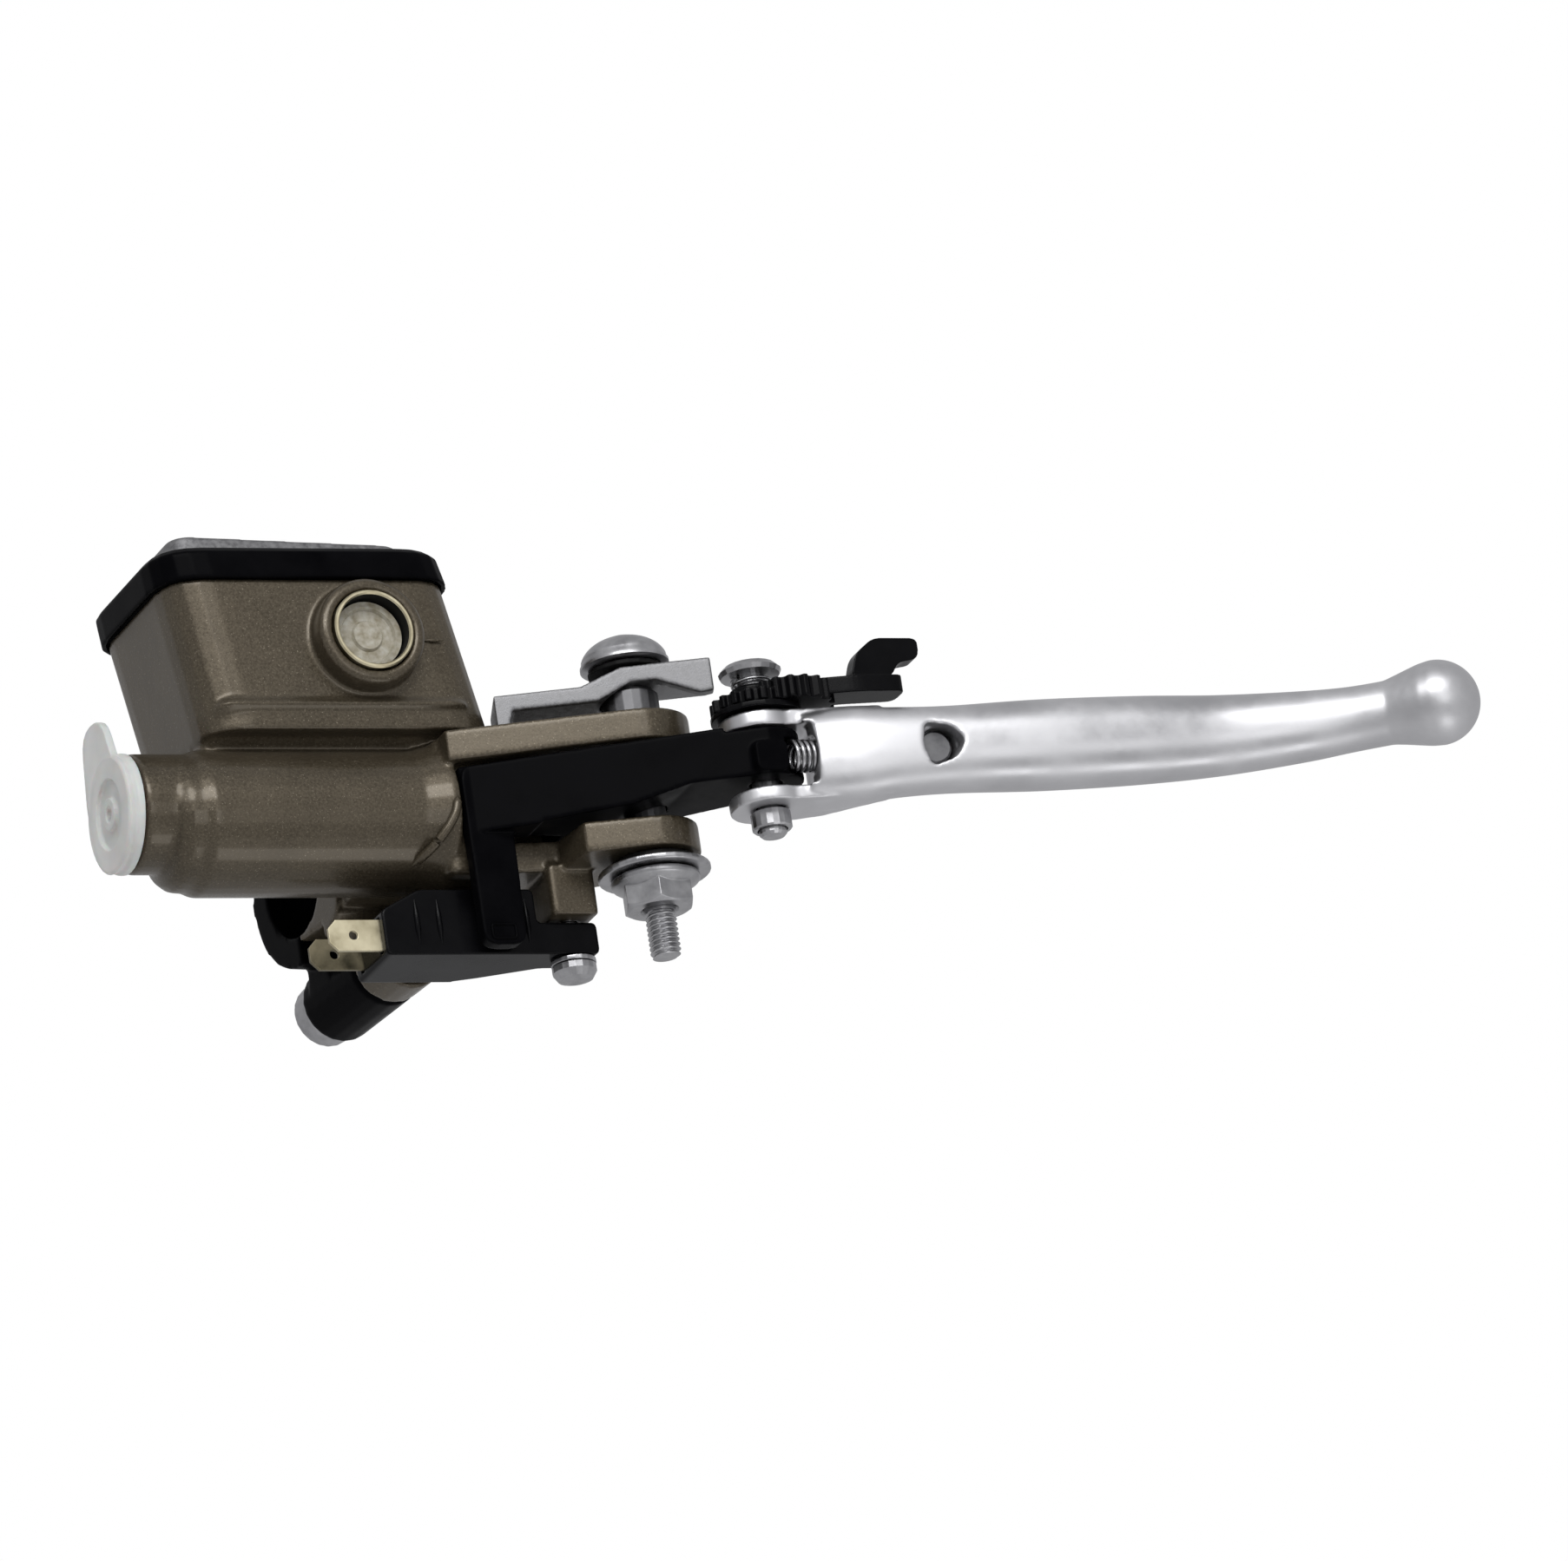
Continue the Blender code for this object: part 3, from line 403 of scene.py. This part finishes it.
def clear_plastic():
    made = Nodes("clear_lens_look")
    broad = made.noise(1.6, 3.0)
    made.colour(made.blend(made.spread(broad, 0.0, 1.0), (0.50, 0.44, 0.31), (0.95, 0.92, 0.80)))
    made.roughness(made.spread(broad, 0.05, 0.2))
    made.bump([(made.noise(2.2), 0.25, 0.5), (made.noise(0.6), 0.01, 0.4)])
    made.set(Transmission_Weight=0.6, IOR=1.45)
    return made.material


def milky_plastic():
    made = Nodes("milky_plastic_look")
    broad = made.noise(5.0, 4.0)
    made.colour(made.blend(made.spread(broad, 0.0, 1.0), (0.78, 0.78, 0.76), (0.88, 0.88, 0.86)))
    made.roughness(made.spread(broad, 0.28, 0.45))
    made.bump([(made.noise(0.9), 0.02, 0.4)])
    made.set(Transmission_Weight=0.45, IOR=1.35, Subsurface_Weight=0.35, Subsurface_Scale=0.004)
    return made.material


LOOKS = {
    "bronze": cast_paint(),
    "black": moulded(
        "black_satin_look", (0.0010, 0.0010, 0.0014), (0.0022, 0.0022, 0.0028), 0.34, 0.3, 0.010, sheen=0.02
    ),
    "plastic": moulded(
        "black_plastic_look", (0.0014, 0.0014, 0.0018), (0.003, 0.003, 0.0036), 0.24, 0.5, 0.008, sheen=0.08
    ),
    # rubber; the same material also paints shade down the sight ring's bore
    "rubber": moulded(
        "rubber_look", (0.004, 0.004, 0.004), (0.009, 0.009, 0.009), 0.6, 0.2, 0.02, sheen=0.12
    ),
    "grey": plated(
        "grey_zinc_look",
        (0.12, 0.12, 0.125),
        (0.24, 0.24, 0.245),
        0.44,
        0.35,
        0.05,
        wear=1.1,
        metallic=0.85,
    ),
    "zinc": plated("zinc_plate_look", (0.26, 0.26, 0.27), (0.46, 0.46, 0.47), 0.32, 0.5, 0.012),
    "steel": plated("steel_look", (0.30, 0.30, 0.31), (0.46, 0.46, 0.47), 0.25, 0.2, 0.006),
    "dark_steel": plated("dark_steel_look", (0.08, 0.08, 0.085), (0.17, 0.17, 0.175), 0.4, 0.8, 0.02),
    "aluminium": plated(
        "aluminium_look", (0.52, 0.52, 0.54), (0.66, 0.66, 0.68), 0.28, 0.15, 0.006, stretch=(6, 1, 1)
    ),
    "polished": plated(
        "polished_look",
        (0.48, 0.48, 0.495),
        (0.60, 0.60, 0.615),
        0.4,
        0.35,
        0.008,
        stretch=(0.25, 1, 1),
        wear=16.0,
    ),
    "brass": plated("brass_look", (0.42, 0.37, 0.24), (0.60, 0.55, 0.40), 0.38, 0.2, 0.008),
    # a darker copy of the brass: painted shade for the spade terminal that sits behind the front one
    "shaded_brass": plated("shaded_brass_look", (0.10, 0.09, 0.06), (0.24, 0.21, 0.14), 0.42, 0.9, 0.012),
    "lens": clear_plastic(),
    "plug": milky_plastic(),
}


# CAD nodes that keep their shape, with the finish and the voxel and passes that round their edges

KEPT = (
    ("body_casting", "bronze", 0.42, 7),
    ("clamp_cap", "black", 0.4, 6),
    ("lever_arm", "black", 0.3, 5),
    ("reservoir_lid", "black", 0.35, 5),
    ("lid_top_plate", "grey", 0.35, 5),
    ("cover_plate", "grey", 0.28, 10),
    ("plate_spacer", "dark_steel", 0.15, 3),
    ("switch_housing", "plastic", 0.22, 4),
    ("adjuster_cam", "plastic", 0.16, 4),
    ("outlet_plug", "plug", 0.2, 5),
    ("fork_washer", "plastic", 0.12, 3),
    ("terminal_front", "brass", 0.1, 2),
    # the back terminal takes the darker brass as painted shade
    ("terminal_back", "shaded_brass", 0.1, 2),
    ("clamp_bolt_upper", "zinc", 0.2, 3),
    ("clamp_bolt_lower", "zinc", 0.2, 3),
    ("switch_plunger", "plastic", 0.15, 3),
    ("head_washer", "rubber", 0.15, 3),
    ("pivot_washer", "zinc", 0.15, 3),
    ("pivot_seal", "rubber", 0.15, 3),
    ("switch_washer", "zinc", 0.12, 3),
    ("dust_boot", "rubber", 0.18, 4),
)
PLAIN = (
    ("diaphragm", "rubber"),
    ("lid_screw_left", "zinc"),
    ("lid_screw_right", "zinc"),
    ("sight_seal", "rubber"),
    ("piston", "aluminium"),
    ("primary_cup", "rubber"),
    ("secondary_cup", "rubber"),
    ("stop_washer", "steel"),
    ("circlip", "steel"),
    ("pivot_bush", "dark_steel"),
    ("blade_nut", "zinc"),
    ("switch_screw", "zinc"),
    ("blade_screw", "zinc"),
    ("reach_screw", "dark_steel"),
)
for node, look, voxel, passes in KEPT:
    soften(dress(node, LOOKS[look]), voxel, passes)
for node, look in PLAIN:
    dress(node, LOOKS[look])


# Camera


def frame_camera():
    """A long lens, turned so that the cylinder's axis lies level in the picture."""
    right = Vector((0.9199, -0.3667, -0.1388)).normalized()
    up = Vector((0.0, -0.3539, 0.9353)).normalized()
    back = right.cross(up)
    across = 0.301  # metres that the picture spans
    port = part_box("piston")[0].lerp(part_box("piston")[1], 0.5)
    port.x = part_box("outlet_plug")[0].x
    low, high = cad_box
    depth = back.dot((low + high) / 2 - port)
    port_left = 0.1278  # how far the hose port is left of the picture's middle, in metres
    port_below = 0.0065
    aim = port + right * port_left + up * port_below + back * depth
    distance = 3.0
    sensor = 36.0
    camera = bpy.data.objects.new("camera", bpy.data.cameras.new("camera"))
    camera.data.sensor_width = sensor
    camera.data.lens = sensor * distance / across
    camera.data.clip_start = 0.5
    camera.data.clip_end = 20.0
    camera.matrix_world = Matrix(
        (
            (right.x, up.x, back.x, 0),
            (right.y, up.y, back.y, 0),
            (right.z, up.z, back.z, 0),
            (0, 0, 0, 1),
        )
    )
    camera.location = aim + back * distance
    bpy.context.scene.collection.objects.link(camera)
    bpy.context.scene.camera = camera
    return aim, right, up, back


def soft_box(name, spot, aim, width, height, watts):
    data = bpy.data.lights.new(name, "AREA")
    data.shape = "RECTANGLE"
    data.size = width
    data.size_y = height
    data.energy = watts
    lamp = bpy.data.objects.new(name, data)
    lamp.location = spot
    lamp.rotation_mode = "QUATERNION"
    lamp.rotation_quaternion = (aim - spot).to_track_quat("-Z", "Y")
    bpy.context.scene.collection.objects.link(lamp)


def studio(aim, right, up, back):
    soft_box("key_light", aim + up * 0.9 + back * 0.75 - right * 0.1, aim, 1.0, 0.4, 9.5)
    soft_box("front_light", aim + back * 1.2 + right * 0.5 + up * 0.35, aim, 0.7, 0.5, 2.0)
    soft_box("under_light", aim - up * 0.7 + back * 0.5 + right * 0.5, aim, 0.5, 0.25, 0.8)
    world = bpy.data.worlds.new("studio")
    bpy.context.scene.world = world
    world.use_nodes = True
    tree = world.node_tree
    background = tree.nodes["Background"]
    background.inputs["Color"].default_value = (0.56, 0.56, 0.57, 1)
    backdrop = tree.nodes.new("ShaderNodeBackground")
    backdrop.inputs["Color"].default_value = (1, 1, 1, 1)
    ray = tree.nodes.new("ShaderNodeLightPath")
    choose = tree.nodes.new("ShaderNodeMixShader")
    tree.links.new(ray.outputs["Is Camera Ray"], choose.inputs["Fac"])
    tree.links.new(background.outputs[0], choose.inputs[1])
    tree.links.new(backdrop.outputs[0], choose.inputs[2])
    tree.links.new(choose.outputs[0], tree.nodes["World Output"].inputs["Surface"])
    bpy.context.scene.view_settings.view_transform = "Standard"

    floor_z = -1.3
    half = 25.0
    bm = bmesh.new()
    bmesh.ops.create_grid(bm, x_segments=8, y_segments=8, size=half / MM)
    floor = object_of(bm, "floor")
    floor.location = (0, 0, floor_z)
    pale = Nodes("floor_look")
    broad = pale.noise(900.0, 2.0)
    pale.colour(pale.blend(pale.spread(broad, 0.0, 1.0), (0.94, 0.94, 0.94), (0.98, 0.98, 0.98)))
    pale.set(Roughness=0.8)
    floor.data.materials.append(pale.material)


# Lever blade


def catmull(points, per_span):
    """A smooth curve through tuples of numbers."""
    found = []
    last = len(points) - 1
    for i in range(last):
        p0 = Vector(points[max(i - 1, 0)])
        p1 = Vector(points[i])
        p2 = Vector(points[i + 1])
        p3 = Vector(points[min(i + 2, last)])
        for k in range(per_span):
            t = k / per_span
            spot = 0.5 * (
                2 * p1
                + (p2 - p0) * t
                + (2 * p0 - 5 * p1 + 4 * p2 - p3) * t**2
                + (3 * p1 - p0 - 3 * p2 + p3) * t**3
            )
            found.append(spot)
    found.append(Vector(points[last]))
    return found


# centre X, centre Y, half depth, half height, from the fork to the ball's neck
BLADE = (
    (69.8, -66.6, 7.4, 9.2),
    (76.0, -69.0, 7.1, 9.4),
    (80.0, -70.6, 6.7, 9.2),
    (86.0, -72.0, 6.5, 8.6),
    (97.0, -73.6, 6.7, 8.3),
    (115.0, -76.0, 7.2, 8.7),
    (134.0, -78.6, 7.0, 8.5),
    (150.0, -81.2, 6.5, 7.8),
    (165.0, -85.8, 6.0, 6.9),
    (174.0, -89.9, 5.7, 6.3),
    (180.5, -93.6, 5.8, 6.2),
)
BALL = Vector((188.4, -99.1, 0.0))
BALL_R = 8.3
EYE = Vector((62.0, -64.0, 0.0))  # the blade's pivot
LEVER_Z = -0.5  # middle height of the blade


def blade_ring(spot, way, depth, height, squareness, sides=72):
    """A rounded box across the blade's path. Squareness 1 is an ellipse, and less is boxier."""
    across = Vector((-way.y, way.x, 0))
    found = []
    for i in range(sides):
        turn = math.tau * i / sides
        c, s = math.cos(turn), math.sin(turn)
        side = depth * math.copysign(abs(c) ** squareness, c)
        rise = height * math.copysign(abs(s) ** squareness, s)
        found.append(spot + across * side + Vector((0, 0, rise)))
    return found


def lever_blade():
    lift = Vector((0, 0, LEVER_Z))
    places = catmull([(x, y, LEVER_Z) for x, y, _, _ in BLADE], 10)
    sizes = catmull([(depth, height, 0) for _, _, depth, height in BLADE], 10)
    rings = []
    for i, (spot, size) in enumerate(zip(places, sizes)):
        way = (places[min(i + 1, len(places) - 1)] - places[max(i - 1, 0)]).normalized()
        squareness = 0.68 + 0.27 * i / len(places)
        rings.append(blade_ring(spot, way, size.x, size.y, squareness))
    # the neck flares into the ball
    neck = places[-1]
    way = (BALL + lift - neck).normalized()
    reach = (BALL + lift - neck).length
    for share, depth, height in ((0.25, 6.5, 6.8), (0.5, 7.3, 7.4), (0.75, 8.0, 8.0)):
        rings.append(blade_ring(neck + way * reach * share, way, depth, height, 1.0))
    for step in range(13):
        turn = math.pi / 2 * step / 12
        radius = max(BALL_R * math.cos(turn), 0.05)
        middle = BALL + lift + way * BALL_R * math.sin(turn)
        rings.append(blade_ring(middle, way, radius, radius, 1.0))
    low, high = box_mm("lever_blade")
    # the fork's two ears narrow into the blade, and end round the pivot
    ear_r = 7.6
    eye_room_r = 9.3
    fork = [(84.0, -73.4), (84.0, -69.6), (74.0, -61.0)]
    for turn in arc_turns(60, 290, 24):
        fork.append((EYE.x + ear_r * math.cos(turn), EYE.y + ear_r * math.sin(turn)))
    arm_room = (-6.6, 5.6)  # height of the slot that the lever arm's eye turns in
    # the cross hole is a rounded triangle, and the set screw's own seat is round
    cross = centre_mm("reach_screw")
    hole = rounded([(-5.8, -3.0), (0.3, 6.0), (5.6, -3.6)], 4.4)
    hole = [(cross.z + z, cross.x + x) for z, x in hole]
    spring_seat = centre_mm("blade_spring")
    blade = carve(
        "blade_detail",
        loft(rings),
        [
            ("UNION", prism(fork, arm_room[1], 8.9, "Z")),
            ("UNION", prism(fork, -9.4, arm_room[0], "Z")),
            ("DIFFERENCE", prism(circle(EYE, eye_room_r, 64), *arm_room, "Z")),
            ("DIFFERENCE", block((60, -82, arm_room[0]), (69.2, -64, arm_room[1]))),
            ("DIFFERENCE", prism(circle((spring_seat.y, spring_seat.z), 3.8, 48), 60, 71.0, "X")),
            ("DIFFERENCE", prism(circle(EYE, 3.2, 32), low.z - 1, high.z + 1, "Z")),
            ("DIFFERENCE", prism(hole, -90, cross.y - 3.4, "Y")),
            ("DIFFERENCE", prism(circle((cross.z, cross.x), 3.7, 40), -90, -60, "Y")),
        ],
    )
    soften(blade, 0.36, 9)
    place(blade, "blade_group", LOOKS["polished"], ["lever_blade"])


# Fasteners


def dome(base, top, radius):
    """A round screw head's profile: a thin brim, a crown, and a small flat."""
    rise = top - base
    points = [(base, radius * 0.5), (base, radius * 0.93), (base + rise * 0.06, radius)]
    points += [(base + rise * 0.16, radius * 1.0), (base + rise * 0.24, radius * 0.965)]
    for turn in arc_turns(14, 66, 10):
        points.append((base + rise * (0.14 + 0.9 * math.sin(turn)), radius * 0.985 * math.cos(turn)))
    flat = points[-1][1]
    points += [(top, flat * 0.86), (top, flat * 0.5)]
    return points


def pivot_bolt():
    low, high = box_mm("pivot_bolt")
    axis = (low + high) / 2
    axis.z = 0
    base = box_mm("head_washer")[1].z + GAP
    nut_low = box_mm("pivot_nut")[0].z
    head_r = 8.6
    shank_r = 3.0
    head = spin(dome(base, high.z, head_r), axis, "Z")
    shank = spin([(nut_low - 0.5, shank_r), (base + 1, shank_r)], axis, "Z")
    screw = thread(shank_r, 0.55, 1.0, low.z, nut_low, axis, "Z")
    socket = prism(circle(axis, 2.9, 6), base + 3.4, high.z + 2, "Z")
    bolt = carve("pivot_bolt_detail", head, [("UNION", shank), ("UNION", screw), ("DIFFERENCE", socket)])
    shade(bolt, 40)
    place(bolt, "housing", LOOKS["zinc"], ["pivot_bolt"])


def pivot_nut():
    low, high = box_mm("pivot_nut")
    axis = (low + high) / 2
    axis.z = 0
    corner_r = 12.6 / math.sqrt(3)
    flange_r = 8.6
    hexagon = prism(circle(axis, corner_r, 6, math.radians(12)), low.z, high.z - 1.0, "Z")
    body = spin([(low.z, 5.9), (low.z + 0.9, 7.3), (high.z, 7.5)], axis, "Z")
    flare = [(high.z - 3.4, 4.0), (high.z - 2.6, 6.4)]
    flare += [(high.z - 1.2, flange_r), (high.z, flange_r), (high.z, 4.0)]
    flange = spin(rounded(flare, 0.5, 4), axis, "Z")
    bore = spin([(low.z - 2, 3.15), (high.z + 2, 3.15)], axis, "Z", 40)
    mouth = spin([(low.z - 0.5, 4.2), (low.z + 0.8, 3.1)], axis, "Z", 40)
    nut = carve(
        "pivot_nut_detail",
        hexagon,
        [("INTERSECT", body), ("UNION", flange), ("DIFFERENCE", bore), ("DIFFERENCE", mouth)],
    )
    soften(nut, 0.1, 2)
    place(nut, "housing", LOOKS["zinc"], ["pivot_nut"])


def sight_glass():
    """The pale ring with painted shade down its bore (the faces inside the bore take the dark rubber
    material), and the stepped lens at the bottom of it.
    """
    low, high = box_mm("sight_ring")
    middle = (low + high) / 2
    middle.y = 0
    outer = (high.x - low.x) / 2
    inner = outer - 0.9
    wall = [(low.y, outer - 0.25), (low.y, inner + 0.25), (low.y + 0.3, inner)]
    wall += [(high.y, inner), (high.y, outer), (low.y + 0.3, outer)]
    ring = object_of(spin(wall, middle, "Y", closed=True), "sight_ring_detail")
    shade(ring, 30)
    place(ring, "housing", LOOKS["brass"], ["sight_ring"])
    # painted shade: the faces inside the ring's bore take the dark rubber material, though the ring is one
    # pale metal
    ring.data.materials.append(LOOKS["rubber"])
    for face in ring.data.polygons:
        spoke = face.center - middle * MM
        spoke.y = 0
        if face.normal.dot(spoke.normalized()) < -0.9:
            face.material_index = 1
    low, high = box_mm("sight_lens")
    rim = (high.x - low.x) / 2
    steps = [(high.y, 0.05), (high.y, rim), (low.y, rim), (low.y, rim - 1.2), (low.y + 0.9, rim - 1.5)]
    steps += [(low.y + 0.9, 3.2), (low.y + 0.3, 2.8), (low.y + 0.3, 0.05)]
    lens = object_of(spin(steps, middle, "Y"), "sight_lens_detail")
    shade(lens, 30)
    place(lens, "housing", LOOKS["lens"], ["sight_lens"])


def bead_section(spot, side, up, radius, sides):
    found = []
    for turn in arc_turns(0, 360, sides)[:-1]:
        found.append(spot + (side * math.cos(turn) + up * math.sin(turn)) * radius)
    return found


def bead(path, radius, name, sides=14):
    """A round bead along a path, its ends tapered."""
    rings = []
    last = len(path) - 1
    for i, spot in enumerate(path):
        way = (path[min(i + 1, last)] - path[max(i - 1, 0)]).normalized()
        side = way.orthogonal().normalized()
        swell = radius * min(1.0, 0.25 + 0.25 * min(i, last - i))
        rings.append(bead_section(spot, side, way.cross(side), swell, sides))
    made = object_of(loft(rings), name)
    shade(made, 60)
    return made


def casting_beads():
    """The bead round the barrel's thick end, the rib that runs down from it, and the fluid level mark."""
    low, high = box_mm("piston")
    axis = (low + high) / 2
    reach = 15.3  # just under the thick end's own radius
    around = []
    for turn in arc_turns(-128, -350, 60):
        around.append(Vector((5.2, axis.y + reach * math.sin(turn), axis.z + reach * math.cos(turn))))
    place(bead(around, 0.75, "barrel_bead"), "housing", LOOKS["bronze"])
    rib = catmull([(5.6, -47.2, 0.0), (4.4, -47.2, -4.0), (1.0, -45.0, -8.6), (-2.5, -40.0, -11.4)], 8)
    place(bead(rib, 0.9, "barrel_rib"), "housing", LOOKS["bronze"])
    wall = box_mm("sight_ring")[0].y + 5.6  # the reservoir's front wall, behind the ring's front
    mark = [Vector((x, wall, 32.9)) for x in (4.4, 5.4, 6.4, 7.4, 8.4)]
    place(bead(mark, 0.5, "level_mark"), "housing", LOOKS["bronze"])


def adjuster_dial():
    """The adjuster's toothed dial, set off the blade's pivot towards the thumb lever."""
    low = box_mm("adjuster_cam")[0]
    hub = Vector((EYE.x + 6.5, EYE.y - 1.5))
    teeth = 18
    outline = []
    for i in range(teeth * 4):
        radius = 7.9 if i % 4 < 2 else 8.8
        turn = math.tau * i / (teeth * 4)
        outline.append((hub.x + radius * math.cos(turn), hub.y + radius * math.sin(turn)))
    top = 14.8  # just under the thumb lever's own top
    screw_room = prism(circle(EYE, 5.6, 40), low.z - 1, top + 8, "Z")
    dial = carve("cam_dial", prism(outline, low.z, top, "Z"), [("DIFFERENCE", screw_room)])
    soften(dial, 0.14, 3)
    place(dial, "adjuster_group", LOOKS["plastic"])


def leg_frame():
    """A small raised frame near the foot of the lever arm's leg."""
    foot = box_mm("lever_arm")[0]
    left, right = foot.x + 2.0, foot.x + 6.8
    under, over = foot.z + 1.2, foot.z + 4.0
    corners = rounded([(left, under), (right, under), (right, over), (left, over)], 0.6)
    leg_front = -47.5
    line = [Vector((x, leg_front, z)) for x, z in corners]
    out = Vector((0, 1, 0))
    rings = []
    for i, spot in enumerate(line):
        way = (line[(i + 1) % len(line)] - line[i - 1]).normalized()
        rings.append(bead_section(spot, way.cross(out), out, 0.32, 10))
    raised = object_of(loft(rings, closed=True), "leg_frame")
    shade(raised, 60)
    place(raised, "lever_group", LOOKS["black"])


def lid_ridges():
    """Fine ridges across the lid's plate, near its left edge. The plate's top falls towards +X."""
    low, high = box_mm("lid_top_plate")
    fall = 0.038
    for i in range(9):
        x = low.x + 4.0 + i * 1.5
        top = high.z - 0.05 - (x - low.x) * fall
        ridge = [Vector((x, y, top)) for y in range(-34, -12, 2)]
        place(bead(ridge, 0.35, f"lid_ridge_{i}"), "housing", LOOKS["grey"])


def switch_ribs():
    """Ribs down the switch's front."""
    front = box_mm("switch_housing")[0].y + 0.1
    for i, x in enumerate((-4.0, 0.5, 18.5)):
        rib = [Vector((x, front, z)) for z in range(-28, -18)]
        place(bead(rib, 0.6, f"switch_rib_{i}"), "housing", LOOKS["plastic"])


def return_spring():
    """Its far end sits against the hose port, and it has a mesh of its own."""
    low, high = box_mm("return_spring")
    middle = (low + high) / 2
    middle.x = 0
    wire = 0.5
    radius = (high.z - low.z) / 2 - wire
    turns = coil(low.x + wire, high.x - wire, radius, wire, 7, middle, "X")
    spring = object_of(turns, "return_spring_detail")
    shade(spring)
    place(spring, "housing", LOOKS["steel"], ["return_spring"])
    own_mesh(spring)


def springs():
    low, high = box_mm("blade_spring")
    middle = (low + high) / 2
    middle.x = 0
    wire = 0.45
    radius = (high.z - low.z) / 2 - wire
    turns = coil(low.x + wire, high.x - wire, radius, wire, 4.2, middle, "X")
    spring = object_of(turns, "blade_spring_detail")
    shade(spring)
    place(spring, "lever_group", LOOKS["steel"], ["blade_spring"])
    low, high = box_mm("click_spring")
    middle = (low + high) / 2
    middle.z = 0
    wire = 0.3
    turns = coil(low.z + wire, high.z - wire, 3.7, wire, 1.5, middle, "Z")
    spring = object_of(turns, "click_spring_detail")
    shade(spring)
    place(spring, "lever_group", LOOKS["steel"], ["click_spring"])


studio(*frame_camera())
lever_blade()
pivot_bolt()
pivot_nut()
sight_glass()
casting_beads()
adjuster_dial()
leg_frame()
lid_ridges()
switch_ribs()
springs()
return_spring()
